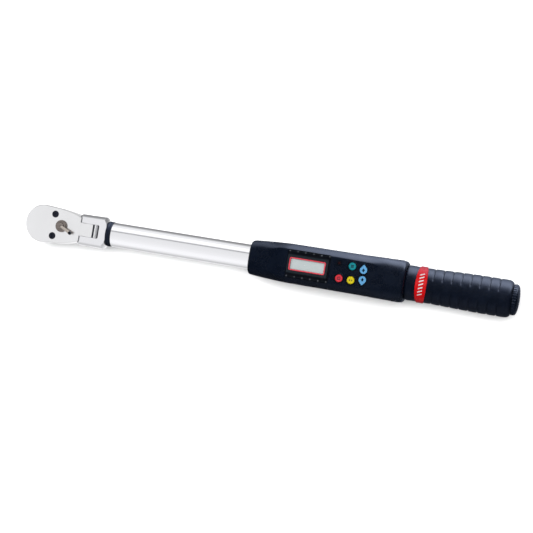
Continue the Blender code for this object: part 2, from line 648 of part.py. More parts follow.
def make_housing_front():
    """The display half, with its window, keys and screw posts."""
    shell = housing_solid("housing_front", "navy_plastic")
    cut(shell, housing_solid("front_cavity", None, WALL),
        box("below_split", None, (180, -30, -10), (345, 30, AXIS_Z + GAP / 2)))
    join(shell, *case_screw_cutters("post", 1.9, AXIS_Z + 1.2, AXIS_Z + 17.4))
    cut(shell, *case_screw_cutters("post_hole", 0.95, AXIS_Z - 1, AXIS_Z + 9))
    cut(shell, cylinder("front_bore", None, TUBE_R + GAP, 30, (194, 0, AXIS_Z), "X", sides=32),
        cylinder("rear_bore", None, HANDLE_R + GAP, 20, (335, 0, AXIS_Z), "X", sides=32))
    recess = round_rectangle(PLATE_X0 - GAP, -PLATE_Y - GAP, PLATE_X1 + GAP, PLATE_Y + GAP, 1.6, 3)
    window = round_rectangle(WINDOW_X0, -WINDOW_Y, WINDOW_X1, WINDOW_Y, 1.0, 3)
    cut(shell, prism("plate_recess", None, recess, PANEL_Z - 0.8, PANEL_Z + 2),
        prism("window_hole", None, window, PANEL_Z - 6, PANEL_Z + 2),
        cylinder("led_hole", None, 1.2 + GAP, 8, (LED_X, LED_Y, PANEL_Z), sides=20))
    for name, (x, y) in ROUND_KEYS.items():
        cut(shell, cylinder(name + "_well", None, ROUND_KEY_R + WELL_MARGIN, 2 * WELL_DEPTH, (x, y, PANEL_Z), sides=20),
            cylinder(name + "_hole", None, ROUND_KEY_R + GAP, 12, (x, y, PANEL_Z), sides=20))
    for name, (x, y, side) in DROP_KEYS.items():
        well = drop_outline(x, y, side, DROP_KEY_R + WELL_MARGIN, DROP_TIP + 1.35 * WELL_MARGIN)
        hole = drop_outline(x, y, side, DROP_KEY_R + GAP, DROP_TIP + 1.4 * GAP)
        cut(shell, prism(name + "_well", None, well, PANEL_Z - WELL_DEPTH, PANEL_Z + 1),
            prism(name + "_hole", None, hole, PANEL_Z - 6, PANEL_Z + 2))
    return shell


def make_housing_back():
    shell = housing_solid("housing_back", "navy_plastic")
    cut(shell, housing_solid("back_cavity", None, WALL),
        box("above_split", None, (180, -30, AXIS_Z - GAP / 2), (345, 30, 60)))
    join(shell, *case_screw_cutters("seat", 2.85, 4.2, 8.0))
    cut(shell, *case_screw_cutters("back_hole", 1.1, -1, 12))
    cut(shell, *case_screw_cutters("head_hole", 2.15, -1, 5.4))
    cut(shell, cylinder("front_bore_back", None, TUBE_R + GAP, 30, (194, 0, AXIS_Z), "X", sides=32),
        cylinder("rear_bore_back", None, HANDLE_R + GAP, 20, (335, 0, AXIS_Z), "X", sides=32))
    return shell


def make_case_screws():
    screws = []
    profile = [(3.5, 0), (3.5, 1.6), (3.8, 1.9), (5.1, 1.9), (5.1, 0.85), (26.0, 0.85), (26.0, 0)]
    for i, (x, y) in enumerate(CASE_SCREWS):
        screw = turned(f"case_screw_{i + 1}", "black_oxide", profile, (x, y, 0), "Z", sides=12)
        for turn in (0, 90):
            slot = box(f"cross_slot_{i}_{turn}", None, (-1.2, -0.25, -0.6), (1.2, 0.25, 0.9))
            cut(screw, place(slot, (x, y, 3.65), "Z", turn))
        screws.append(screw)
    return screws


# ---------------------------------------------------------------- display and keys
def frame_outline(grow):
    """The window's outline, grown outwards."""
    return round_rectangle(WINDOW_X0 - grow, -WINDOW_Y - grow, WINDOW_X1 + grow, WINDOW_Y + grow, 1.0 + grow, 3)


def make_display():
    plate_outline = round_rectangle(PLATE_X0, -PLATE_Y, PLATE_X1, PLATE_Y, 1.4, 3)
    plate = prism("display_plate", "black_plastic", plate_outline, PANEL_Z - 0.55, PANEL_Z)
    cut(plate, prism("plate_opening", None, frame_outline(BEZEL_WIDTH + 0.2), PANEL_Z - 3, PANEL_Z + 3))
    bezel = prism("display_bezel", "red_plastic", frame_outline(BEZEL_WIDTH), PANEL_Z - 0.55, PANEL_Z + 0.3)
    cut(bezel, prism("bezel_opening", None, frame_outline(0), PANEL_Z - 3, PANEL_Z + 3))
    lens = prism("display_lens", "clear_lens", frame_outline(-0.2), PANEL_Z - 2.0, PANEL_Z - 0.1)
    module = prism("lcd_module", "lcd_grey", round_rectangle(230.6, -8.4, 265.6, 8.4, 0.8, 2),
                   BOARD_Z + 1.85, PANEL_Z - WALL - GAP)
    return [plate, bezel, lens, module]


def make_board_parts():
    board = box("circuit_board", "board_green", (226, -10.9, BOARD_Z), (312, 10.9, BOARD_Z + 1.6))
    top = BOARD_Z + 1.6 + GAP
    mat = prism("keypad_mat", "grey_silicone", round_rectangle(271, -10.4, 301.6, 10.4, 1.5, 2), top, top + 0.4)
    cut(mat, cylinder("mat_led_hole", None, 1.8, 4, (LED_X, LED_Y, top), sides=16))
    led = cylinder("alert_led", "red_plastic", 1.2, PANEL_Z - 0.1 - top, (LED_X, LED_Y, (PANEL_Z - 0.1 + top) / 2),
                   sides=20)
    buzzer = cylinder("buzzer", "black_plastic", 3.3, 2.0, (306.5, 0, top + 1.0), sides=24)
    cut(buzzer, cylinder("sound_hole", None, 0.8, 2, (306.5, 0, top + 2.2), sides=12))
    return [board, mat, led, buzzer]


def make_round_key(name, finish, x, y):
    top = PANEL_Z + 0.4
    profile = [(KEY_Z0, 0), (KEY_Z0, ROUND_KEY_R + 0.7), (KEY_Z0 + 0.8, ROUND_KEY_R + 0.7),
               (KEY_Z0 + 0.8, ROUND_KEY_R), (top - 0.4, ROUND_KEY_R), (top - 0.1, ROUND_KEY_R - 0.3),
               (top, ROUND_KEY_R - 0.8), (top, 0)]
    return turned(name, finish, profile, (x, y, 0), "Z", sides=20)


def make_drop_key(name, x, y, side):
    top = PANEL_Z + 0.4
    local = drop_outline(0, 0, side, DROP_KEY_R, DROP_TIP)
    key = prism(name, "blue_rubber", local, KEY_Z0 + 0.4, top, where=(x, y, 0))
    soften_rim(key, top, 0.4, 2)
    flange = drop_outline(0, 0, side, DROP_KEY_R + 0.6, DROP_TIP + 0.6)
    join(key, prism(name + "_flange", None, flange, KEY_Z0, KEY_Z0 + 0.8, where=(x, y, 0)))
    return key


# ---------------------------------------------------------------- handle
def make_handle_tube():
    bore_start = CELL_X0 - 2.0
    profile = [(HANDLE_X0, 0), (HANDLE_X0, SPIGOT_R), (303, SPIGOT_R), (303, HANDLE_R), (HANDLE_X1, HANDLE_R),
               (HANDLE_X1, BATTERY_BORE), (bore_start, BATTERY_BORE), (bore_start, 0)]
    tube = turned("handle_tube", "aluminium", profile, (0, 0, AXIS_Z), sides=32)
    cut(tube, cylinder("handle_cross_hole", None, 2.15, 30, (HANDLE_PIN_X, 0, AXIS_Z), "Y", sides=20))
    pin = cylinder("handle_anchor_pin", "tool_steel", 2.0, 21, (HANDLE_PIN_X, 0, AXIS_Z), "Y", sides=20)
    return [tube, pin]


def grip_radius(x):
    """Outer radius of the grip: a slim neck that swells towards the end."""
    if x < 335.0:
        return 14.2 + 0.8 * (x - GRIP_X0) / 2.0
    if x < 352.0:
        return 15.0
    if x < 400.0:
        return 15.0 + 1.1 * math.sin(math.pi / 2 * (x - 352.0) / 48.0) ** 1.3
    end = GRIP_X1 + 0.8
    if x < end - 5.0:
        return 16.1
    return 11.1 + math.sqrt(max(25.0 - (x - end + 5.0) ** 2, 0.0))


def groove_depth(x, angle):
    """Finger grooves, deepest at the two sides and fading out at the top and bottom."""
    side = abs(math.sin(angle))
    fade = min(max((side - 0.35) / 0.4, 0.0), 1.0)
    depth = 0.0
    for k in range(GROOVES):
        distance = abs(x - GROOVE_X0 - k * GROOVE_PITCH)
        depth = max(depth, GROOVE_DEPTH * max(1 - distance / 1.0, 0.0))
    return depth * fade


def make_grip_sleeve():
    stations = [GRIP_X0, 335.0, 352.0]
    for k in range(GROOVES):
        middle = GROOVE_X0 + k * GROOVE_PITCH
        stations += [middle - 1.0, middle, middle + 1.0]
    stations += [418.8, 420.3, 421.6, 422.5, GRIP_X1]
    count = 20
    angles = [2 * math.pi * i / count for i in range(count)]

    def ring(x, radius_at):
        return [(x, radius_at(a) * math.sin(a), AXIS_Z + radius_at(a) * math.cos(a)) for a in angles]

    outer = [ring(x, lambda a, x=x: grip_radius(x) - groove_depth(x, a)) for x in stations]
    inner = [ring(x, lambda a: GRIP_BORE) for x in (GRIP_X1, GRIP_X0)]
    return loft("grip_sleeve", "navy_rubber", outer + inner, closed_loop=True)


def make_badge():
    """A blank lens-shaped badge that wraps over the neck of the grip."""
    limit, blunt = 100.0, 12.0
    stations = 20
    sections = []
    for i in range(stations + 1):
        degrees = -limit + 2 * limit * i / stations
        angle = math.radians(degrees)
        width = 2.7 + 2.2 * max(math.cos(angle), 0.0)
        past = max(abs(degrees) - (limit - blunt), 0.0) / blunt
        width *= math.sqrt(max(1.0 - past * past, 0.06))
        corners = [(-width, BADGE_R), (width, BADGE_R), (width, BADGE_R + BADGE_THICK - 0.2),
                   (width - 0.3, BADGE_R + BADGE_THICK), (-width + 0.3, BADGE_R + BADGE_THICK),
                   (-width, BADGE_R + BADGE_THICK - 0.2)]
        sections.append([(BADGE_X + u, r * math.sin(angle), AXIS_Z + r * math.cos(angle)) for u, r in corners])
    return loft("badge_band", "red_plastic", sections)


def make_cell(name, x0):
    body = CELL_LENGTH - 1.4
    profile = [(0, 0), (0, 6.6), (0.4, CELL_R), (body - 0.4, CELL_R), (body, 6.6), (body, 2.75),
               (CELL_LENGTH - 0.3, 2.75), (CELL_LENGTH, 2.4), (CELL_LENGTH, 0)]
    return turned(name, "cell_jacket", profile, (x0, 0, AXIS_Z), sides=20)


def make_battery_parts():
    contact = turned("battery_contact", "brass", [(-1.6, 0), (-1.6, 5.5), (-1.0, 5.5), (-0.3, 3.0), (-0.3, 0)],
                     (CELL_X0, 0, AXIS_Z), sides=20)
    return [contact, make_cell("battery_1", CELL_X0), make_cell("battery_2", CELL_X0 + CELL_LENGTH + 0.3)]


def make_battery_cap():
    profile = [(422.6, 0), (422.6, 5.9), (416.5, 5.9), (416.5, 7.1), (416.9, 7.45), (CAP_X0, 7.45),
               (CAP_X0, CAP_R), (426.3, CAP_R), (427.6, 12.4), (428.7, 9.5), (429.3, 5.0), (CAP_X1, 0)]
    cap = turned("battery_cap", "navy_plastic", profile, (0, 0, AXIS_Z), sides=36)
    for k in range(CAP_NOTCHES):
        angle = 2 * math.pi * k / CAP_NOTCHES
        where = (425.5, (CAP_R + 0.1) * math.sin(angle), AXIS_Z + (CAP_R + 0.1) * math.cos(angle))
        cut(cap, cylinder(f"notch_{k}", None, 0.6, 8, where, "X", sides=4))
    cut(cap, box("coin_slot", None, (428.2, -7.5, AXIS_Z - 1.1), (431, 7.5, AXIS_Z + 1.1)))
    ring = [(8.5 + 0.7 * math.cos(a), 0.7 * math.sin(a)) for a in
            (2 * math.pi * i / 6 for i in range(6))]
    seal = turned("cap_seal", "black_plastic", [(422.2 + z, r) for r, z in ring],
                  (0, 0, AXIS_Z), closed=True, sides=20)
    coil = spring("cap_spring", "spring_steel", 4.3, 0.4, 7.4, 4, (414.6, 0, AXIS_Z), "X")
    return cap, [seal, coil]


# ---------------------------------------------------------------- assembly
def main():
    head = [make_head_body(), make_cover_plate(),
            make_cover_screw("cover_screw_1", -1), make_cover_screw("cover_screw_2", 1)]
    detent_ball, detent_spring = make_socket_detent()
    drive = [make_drive_anvil(), detent_spring]
    lever = [make_reverse_lever(), *make_lever_stem(), *make_pawl_detent()]
    pawl = [make_pawl()]
    make_yoke()
    plunger = make_flex_parts()[1]
    make_seal_ring()
    make_front_tube()
    make_beam_parts()
    make_sensor_cable()
    make_housing_front()
    make_housing_back()
    make_case_screws()
    make_display()
    make_board_parts()
    key_finish = {"key_power": "red_rubber", "key_mode": "teal_rubber", "key_units": "yellow_rubber"}
    keys = [make_round_key(name, key_finish[name], x, y) for name, (x, y) in ROUND_KEYS.items()]
    keys += [make_drop_key(name, x, y, side) for name, (x, y, side) in DROP_KEYS.items()]
    make_handle_tube()
    make_grip_sleeve()
    make_badge()
    make_battery_parts()
    cap, carried = make_battery_cap()

    flex_frame = joint_frame("head_flex_axis", (FLEX_X, 0, AXIS_Z))
    hang(flex_frame, head)
    drive_frame = joint_frame("drive_spin_axis", (0, 0, 0))
    hang(drive_frame, drive, flex_frame)
    hang(joint_frame("drive_detent_axis", (3.85, 0, 4.6)), [detent_ball], drive_frame)
    hang(joint_frame("flex_detent_axis", (54.0, 0, AXIS_Z)), [plunger])
    for key in keys:
        where = key.location / MM
        hang(joint_frame(key.name + "_axis", (where.x, where.y, KEY_Z0)), [key])
    hang(joint_frame("reverse_throw_axis", (LEVER_X, 0, AXIS_Z)), lever, flex_frame)
    hang(joint_frame("pawl_rock_axis", (LEVER_X, 0, AXIS_Z)), pawl, flex_frame)
    pull_frame = joint_frame("cap_pull_axis", (CAP_X0, 0, AXIS_Z))
    hang(pull_frame, carried)
    hang(joint_frame("cap_turn_axis", (CAP_X0, 0, AXIS_Z)), [cap], pull_frame)


main()
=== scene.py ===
"""Looks of the digital torque wrench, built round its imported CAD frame.

Shapes are modelled in millimetres, in the frame's own axes: +X runs along the tool to
the grip and +Z points out of the display. publish() turns them into metres.
"""
import json
import math

import bmesh
import bpy
from mathutils import Matrix, Vector


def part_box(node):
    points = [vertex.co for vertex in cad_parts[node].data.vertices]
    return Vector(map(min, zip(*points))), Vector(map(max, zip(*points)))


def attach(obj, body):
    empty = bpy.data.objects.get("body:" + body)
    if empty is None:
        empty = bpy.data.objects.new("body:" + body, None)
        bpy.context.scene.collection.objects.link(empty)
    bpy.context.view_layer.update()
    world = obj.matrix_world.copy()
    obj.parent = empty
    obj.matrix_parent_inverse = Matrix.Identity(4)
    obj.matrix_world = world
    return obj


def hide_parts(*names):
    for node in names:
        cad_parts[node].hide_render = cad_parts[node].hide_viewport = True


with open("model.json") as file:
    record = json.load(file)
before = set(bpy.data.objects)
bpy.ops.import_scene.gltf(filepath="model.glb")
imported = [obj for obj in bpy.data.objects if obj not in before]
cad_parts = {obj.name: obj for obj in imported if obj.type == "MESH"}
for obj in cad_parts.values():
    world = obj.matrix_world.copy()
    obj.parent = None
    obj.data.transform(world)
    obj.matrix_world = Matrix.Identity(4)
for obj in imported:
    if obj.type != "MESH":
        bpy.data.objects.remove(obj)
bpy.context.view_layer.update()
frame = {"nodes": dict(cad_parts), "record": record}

MM = 0.001
BODY_OF = {node: body for body, nodes in frame["record"]["behaviour"]["bodies"].items() for node in nodes}
SLOT_OF = {part["node"]: part["material_slot"] for part in frame["record"]["subparts"]}


def corners(node):
    """Lowest and highest corner of a CAD node, in millimetres."""
    low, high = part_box(node)
    return low / MM, high / MM


def middle(node):
    """Centre of a CAD node, in millimetres."""
    low, high = corners(node)
    return tuple((a + b) / 2 for a, b in zip(low, high))


# ---------------- places read from the frame
TUBE_LOW, TUBE_HIGH = corners("front_tube")
AXIS_Z = middle("front_tube")[2]
AXIS = (0, 0, AXIS_Z)
TUBE_R = (TUBE_HIGH.z - TUBE_LOW.z) / 2
BODY_LOW, BODY_HIGH = corners("head_body")
COVER_LOW, COVER_HIGH = corners("cover_plate")
HEAD_R, HEAD_END, HEAD_TOP = -COVER_LOW.x, COVER_HIGH.x, COVER_HIGH.z
PIN_LOW, PIN_HIGH = corners("flex_pin")
PIN_R, PIN_END = (PIN_HIGH.z - PIN_LOW.z) / 2, PIN_HIGH.y
FLEX_X = middle("flex_pin")[0]
FLEX_AXIS = (FLEX_X, 0, AXIS_Z)
YOKE_END = corners("yoke")[1].x
RING_LOW, RING_HIGH = corners("yoke_seal_ring")
LEVER_FOOT = corners("reverse_lever")[0].z
LEVER_X = middle("reverse_lever")[0]
SCREW_LOW, SCREW_HIGH = corners("cover_screw_2")
SCREW_X, SCREW_Y, _ = middle("cover_screw_2")
HOUSING_LOW, HOUSING_HIGH = corners("housing_front")
NOSE, TAIL, PANEL_Z = HOUSING_LOW.x, HOUSING_HIGH.x, HOUSING_HIGH.z
PLATE_LOW, PLATE_HIGH = corners("display_plate")
BEZEL_LOW, BEZEL_HIGH = corners("display_bezel")
GRIP_LOW, GRIP_HIGH = corners("grip_sleeve")
BADGE_X = middle("badge_band")[0]
CAP_END = corners("battery_cap")[1].x
LED_X, LED_Y, _ = middle("alert_led")
DRIVE_TIP = corners("drive_anvil")[0].z

GAP = 0.25              # between parts that don't touch
RUN = 0.15              # between a pin and its bore
FAR = 20                # how far a cutter reaches past what it cuts
HANDLE_BORE = 10.95     # radius of the hole that the handle tube goes through


# ---------------- materials
LOOKS = {}


def add_node(tree, kind, **inputs):
    """A new shader node with some of its inputs set; From_Min stands for From Min."""
    node = tree.nodes.new("ShaderNode" + kind)
    for name, value in inputs.items():
        node.inputs[name.replace("_", " ")].default_value = value
    return node


def surface(name, colour, roughness, metallic=0.0, specular=0.5, tint=0.08, spread=0.04,
            mottle=300, grain=2500.0, depth=0.01, stretch=(1, 1, 1), alpha=1.0):
    """Add a finish with soft colour and roughness variation and a fine grain in relief.

    mottle and grain count features in a metre, and depth is the relief in millimetres.
    """
    material = bpy.data.materials.new(name)
    material.use_nodes = True
    tree, link = material.node_tree, material.node_tree.links.new
    shader = tree.nodes["Principled BSDF"]
    shader.inputs["Metallic"].default_value = metallic
    shader.inputs["Specular IOR Level"].default_value = specular
    shader.inputs["Alpha"].default_value = alpha
    coordinates = add_node(tree, "TexCoord")
    mapping = add_node(tree, "Mapping", Scale=stretch)
    link(coordinates.outputs["Object"], mapping.inputs["Vector"])

    cloud = add_node(tree, "TexNoise", Scale=mottle, Detail=4.0)
    link(mapping.outputs["Vector"], cloud.inputs["Vector"])
    ramp = add_node(tree, "ValToRGB")
    for stop, place, factor in zip(ramp.color_ramp.elements, (0.35, 0.65), (1 - tint, 1 + tint)):
        stop.position = place
        stop.color = (*(min(c * factor, 1.0) for c in colour), 1.0)
    link(cloud.outputs["Fac"], ramp.inputs["Fac"])
    link(ramp.outputs["Color"], shader.inputs["Base Color"])
    span = add_node(tree, "MapRange", From_Min=0.3, From_Max=0.7, To_Min=max(roughness - spread, 0.02),
                    To_Max=roughness + spread)
    link(cloud.outputs["Fac"], span.inputs["Value"])
    link(span.outputs["Result"], shader.inputs["Roughness"])

    fine = add_node(tree, "TexNoise", Scale=grain, Detail=2.0)
    link(mapping.outputs["Vector"], fine.inputs["Vector"])
    bump = add_node(tree, "Bump", Strength=0.5, Distance=depth * MM)
    link(fine.outputs["Fac"], bump.inputs["Height"])
    link(bump.outputs["Normal"], shader.inputs["Normal"])
    LOOKS[name] = material


surface("satin_steel", (0.62, 0.62, 0.63), 0.24, 1.0, tint=0.02, mottle=60, grain=3500, depth=0.004)
surface("chrome", (0.62, 0.62, 0.64), 0.13, 1.0, tint=0.015, spread=0.02, mottle=40, grain=900,
        depth=0.001, stretch=(0.15, 1, 1))
surface("gunmetal", (0.15, 0.13, 0.12), 0.26, 1.0, tint=0.15, mottle=400, grain=2500, depth=0.006)
# A paler, warmer steel than the gunmetal, given to the lever's stem.
surface("pale_warm_steel", (0.34, 0.305, 0.275), 0.2, 1.0, tint=0.12, mottle=500, grain=2500, depth=0.004)
surface("black_oxide", (0.006, 0.007, 0.012), 0.4, specular=0.4, tint=0.2, mottle=700, depth=0.005)
surface("tool_steel", (0.42, 0.42, 0.43), 0.3, 1.0, tint=0.06, stretch=(1, 6, 6))
surface("spring_steel", (0.5, 0.5, 0.52), 0.28, 1.0, mottle=500)
surface("aluminium", (0.66, 0.67, 0.69), 0.32, 1.0, tint=0.04, mottle=200, stretch=(8, 1, 1))
surface("brass", (0.76, 0.57, 0.25), 0.28, 1.0)
surface("navy_rubber", (0.0013, 0.0024, 0.0058), 0.34, specular=0.38, tint=0.2, spread=0.05,
        mottle=160, grain=2200, depth=0.02, stretch=(1.6, 1, 1))
surface("navy_plastic", (0.0012, 0.0024, 0.0058), 0.28, specular=0.4, tint=0.16, spread=0.04,
        mottle=120, grain=2600, depth=0.008)
surface("black_plastic", (0.0009, 0.0012, 0.0022), 0.33, specular=0.35, tint=0.2, mottle=200,
        depth=0.008)
surface("badge_red", (0.30, 0.0012, 0.0018), 0.3, specular=0.15, tint=0.06, mottle=150, depth=0.004)
surface("frame_red", (0.40, 0.024, 0.04), 0.3, specular=0.35, tint=0.05, depth=0.004)
surface("led_red", (0.02, 0.003, 0.003), 0.15, specular=0.5, tint=0.1, mottle=900, depth=0.002)
for name, colour, tint in (("red", (0.31, 0.015, 0.023), 0.05), ("teal", (0.001, 0.115, 0.135), 0.07),
                           ("yellow", (0.32, 0.265, 0.002), 0.04), ("blue", (0.055, 0.175, 0.32), 0.06)):
    surface("key_" + name, colour, 0.45, specular=0.15, tint=tint, mottle=350)
surface("seal_rubber", (0.0045, 0.0064, 0.0115), 0.4, specular=0.35, tint=0.12)
surface("silicone_grey", (0.24, 0.25, 0.27), 0.55)
surface("board_green", (0.015, 0.14, 0.06), 0.4, tint=0.35, mottle=700)
surface("lcd_grey", (0.14, 0.165, 0.168), 0.35, specular=0.3, tint=0.03, mottle=500, grain=1600,
        depth=0.004)
surface("lens_clear", (0.75, 0.80, 0.80), 0.06, specular=0.4, tint=0.01, mottle=100, depth=0.001,
        alpha=0.12)
surface("gauge_foil", (0.62, 0.38, 0.16), 0.35, 0.3, mottle=900)
surface("cable_grey", (0.2, 0.2, 0.22), 0.5, mottle=400)
surface("cell_jacket", (0.03, 0.08, 0.24), 0.3, 0.2, tint=0.12, mottle=60)
surface("panel_ink", (0.0055, 0.008, 0.0105), 0.36, specular=0.35, tint=0.1, mottle=260)
surface("legend_dark", (0.004, 0.006, 0.012), 0.5, specular=0.2, mottle=600)
surface("legend_blue", (0.006, 0.03, 0.12), 0.5, specular=0.2, mottle=600)
surface("legend_white", (0.36, 0.36, 0.36), 0.45, specular=0.3, tint=0.03, mottle=600)
surface("legend_grey", (0.045, 0.05, 0.058), 0.5, specular=0.3, tint=0.2, mottle=900)

STEEL = ("satin_steel", "chrome", "gunmetal", "pale_warm_steel", "tool_steel", "spring_steel",
         "aluminium", "brass")
STEEL_PARTS = bpy.data.collections.new("steel_parts")
PLASTIC_PARTS = bpy.data.collections.new("plastic_parts")


def finish(obj, look):
    """Give a piece its finish, and list it as steel or plastic."""
    obj.data.materials.clear()
    obj.data.materials.append(LOOKS[look])
    (STEEL_PARTS if look in STEEL else PLASTIC_PARTS).objects.link(obj)


# ---------------- paths
def arc(centre, radius, start, end, steps):
    """Points along an arc, in degrees, both ends included."""
    angles = [math.radians(start + (end - start) * i / steps) for i in range(steps + 1)]
    return [(centre[0] + radius * math.cos(a), centre[1] + radius * math.sin(a)) for a in angles]


def bezier(p0, p1, p2, p3, steps):
    points = []
    for i in range(steps + 1):
        t = i / steps
        weights = ((1 - t) ** 3, 3 * t * (1 - t) ** 2, 3 * t * t * (1 - t), t ** 3)
        points.append(tuple(sum(w * p[k] for w, p in zip(weights, (p0, p1, p2, p3))) for k in (0, 1)))
    return points


def round_rectangle(x0, y0, x1, y1, radius, steps=8):
    spots = [(x1 - radius, y1 - radius, 0), (x0 + radius, y1 - radius, 90),
             (x0 + radius, y0 + radius, 180), (x1 - radius, y0 + radius, 270)]
    points = []
    for x, y, start in spots:
        points += arc((x, y), radius, start, start + 90, steps)
    return points


def grown(low, high, grow, radius):
    """The outline of a box seen from above, grown outwards, with round corners."""
    return round_rectangle(low.x - grow, low.y - grow, high.x + grow, high.y + grow, radius)


def hexagon(x, y, radius):
    return [(x + px, y + py) for px, py in arc((0, 0), radius, 0, 300, 5)]


def softened(points, radius, steps=3):
    """Round the inner corners of an open path, each within its own two sides."""
    path = [points[0]]
    for before, here, after in zip(points, points[1:], points[2:]):
        a, b, c = Vector(before), Vector(here), Vector(after)
        reach = min(radius, (a - b).length * 0.45, (c - b).length * 0.45)
        start, end = b + (a - b).normalized() * reach, b + (c - b).normalized() * reach
        for i in range(steps + 1):
            t = i / steps
            path.append(tuple(start * (1 - t) ** 2 + b * 2 * t * (1 - t) + end * t * t))
    return path + [points[-1]]


def smooth_row(table, x):
    """Read a table of (x, values...) rows at x, on monotone cubics that never overshoot."""
    xs = [row[0] for row in table]
    k = max(i for i in range(len(xs) - 1) if xs[i] <= x or i == 0)
    width = xs[k + 1] - xs[k]
    t = min(max((x - xs[k]) / width, 0.0), 1.0)
    values = []
    for column in range(1, len(table[0])):
        def slope(i):
            return (table[i + 1][column] - table[i][column]) / (xs[i + 1] - xs[i])

        def tangent(i):
            if i == 0 or i == len(xs) - 1:
                return slope(min(i, len(xs) - 2))
            left, right = slope(i - 1), slope(i)
            return 0.0 if left * right <= 0 else 2 * left * right / (left + right)

        here, there = table[k][column], table[k + 1][column]
        values.append(here * (1 + 2 * t) * (1 - t) ** 2 + tangent(k) * width * t * (1 - t) ** 2
                      + there * t * t * (3 - 2 * t) - tangent(k + 1) * width * t * t * (1 - t))
    return values


# ---------------- shapes
MERGE = 0.0005      # points this close are one


def added(name, data):
    """A new object in the scene."""
    obj = bpy.data.objects.new(name, data)
    bpy.context.scene.collection.objects.link(obj)
    return obj


def placed(name, bm):
    """Put a finished bmesh in the scene as an object."""
    mesh = bpy.data.meshes.new(name)
    bm.to_mesh(mesh)
    bm.free()
    return added(name, mesh)


def solid(name, build):
    """An object whose mesh is filled in by a bmesh function."""
    bm = bmesh.new()
    build(bm)
    bmesh.ops.remove_doubles(bm, verts=bm.verts, dist=MERGE)
    bmesh.ops.recalc_face_normals(bm, faces=bm.faces)
    return placed(name, bm)


def bridge(bm, near, far):
    """Join two rows of points, either of which may be a single point."""
    count = max(len(near), len(far))
    for i in range(count):
        j = (i + 1) % count
        face = [near[i % len(near)], near[j % len(near)], far[j % len(far)], far[i % len(far)]]
        face = list(dict.fromkeys(face))
        if len(face) > 2:
            bm.faces.new(face)


def loft(name, sections, ring=False):
    """Skin a row of sections; a ring joins its last section to its first."""
    def build(bm):
        rows = [[bm.verts.new(point) for point in section] for section in sections]
        for near, far in zip(rows, rows[1:]):
            bridge(bm, near, far)
        if ring:
            bridge(bm, rows[-1], rows[0])
        else:
            for end in (rows[0], rows[-1]):
                if len(end) > 2:
                    bm.faces.new(end)
    return solid(name, build)


AXES = {"X": ((1, 0, 0), (0, 1, 0), (0, 0, 1)), "Y": ((0, 1, 0), (0, 0, 1), (1, 0, 0)),
        "Z": ((0, 0, 1), (1, 0, 0), (0, 1, 0))}


def turned(name, profile, at=(0, 0, 0), axis="X", sides=96, ring=False):
    """Turn (distance along the axis, radius) points about an axis through at."""
    along, side, up = (Vector(v) for v in AXES[axis])
    sections = []
    for distance, radius in profile:
        centre = Vector(at) + along * distance
        count = sides if radius > 0.0001 else 1
        turns = [2 * math.pi * i / sides for i in range(count)]
        sections.append([centre + (side * math.cos(a) + up * math.sin(a)) * radius for a in turns])
    return loft(name, sections, ring)


def rod(name, radius, low, high, at=(0, 0, 0), axis="Z", sides=48, edge=0.0):
    """A straight round bar with softened ends."""
    profile = [(low, 0), (low, radius), (high, radius), (high, 0)]
    return turned(name, softened(profile, edge) if edge else profile, at, axis, sides)


def prism(name, outline, low, high, axis="Z", rim=0.0, foot=0.0, steps=3):
    """Extrude an outline: X takes (y, z) points, Y takes (x, z) and Z takes (x, y).

    rim and foot round the edges of the high and of the low end.
    """
    place = "XYZ".index(axis)

    def spot(point, level):
        here = list(point)
        here.insert(place, level)
        return here

    def build(bm):
        rows = [[bm.verts.new(spot(point, level)) for point in outline] for level in (low, high)]
        bridge(bm, *rows)
        caps = [bm.faces.new(row) for row in rows]
        for cap, width in zip(caps, (foot, rim)):
            if width:
                bmesh.ops.bevel(bm, geom=list(cap.edges), offset=width, segments=steps, profile=0.5,
                                affect="EDGES")
    return solid(name, build)


def block(name, low, high):
    outline = [(low[0], low[1]), (high[0], low[1]), (high[0], high[1]), (low[0], high[1])]
    return prism(name, outline, low[2], high[2])


def bake(obj):
    """Make an object's modifiers part of its mesh, and merge points that coincide."""
    bpy.context.view_layer.update()
    depsgraph = bpy.context.evaluated_depsgraph_get()
    mesh = bpy.data.meshes.new_from_object(obj.evaluated_get(depsgraph))
    bm = bmesh.new()
    bm.from_mesh(mesh)
    bmesh.ops.remove_doubles(bm, verts=bm.verts, dist=MERGE)
    bmesh.ops.dissolve_degenerate(bm, edges=bm.edges, dist=0.0002)
    bm.to_mesh(mesh)
    bm.free()
    obj.modifiers.clear()
    obj.data = mesh


def combine(obj, others, operation):
    for other in others:
        modifier = obj.modifiers.new(other.name, "BOOLEAN")
        modifier.operation = operation
        modifier.solver = "EXACT"
        modifier.object = other
        bake(obj)
        bpy.data.objects.remove(other, do_unlink=True)
    return obj


def cut(obj, *cutters):
    return combine(obj, cutters, "DIFFERENCE")


def join(obj, *others):
    return combine(obj, others, "UNION")


def soften_edges(obj, width):
    bevel = obj.modifiers.new("soft_edges", "BEVEL")
    bevel.width = width
    bevel.segments = 2
    bevel.limit_method = "ANGLE"
    bevel.angle_limit = math.radians(35)
    bake(obj)


def group(name, objects):
    """Several separate shapes as one piece."""
    bm = bmesh.new()
    for obj in objects:
        bm.from_mesh(obj.data)
        bpy.data.objects.remove(obj, do_unlink=True)
    return placed(name, bm)


def publish(obj, node=None, body="handle", slot=None, look=None, sharp=32):
    """Finish a piece: metres, material, shading, the body it rides on, the node it stands for."""
    slot = slot or SLOT_OF[node]
    obj.data.transform(Matrix.Scale(MM, 4))
    finish(obj, look or slot)
    obj.data.shade_smooth()
    obj.data.set_sharp_from_angle(angle=math.radians(sharp))
    weighted = obj.modifiers.new("weighted_normals", "WEIGHTED_NORMAL")
    weighted.keep_sharp = True
    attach(obj, BODY_OF[node] if node else body)
    if node:
        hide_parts(node)
    return obj


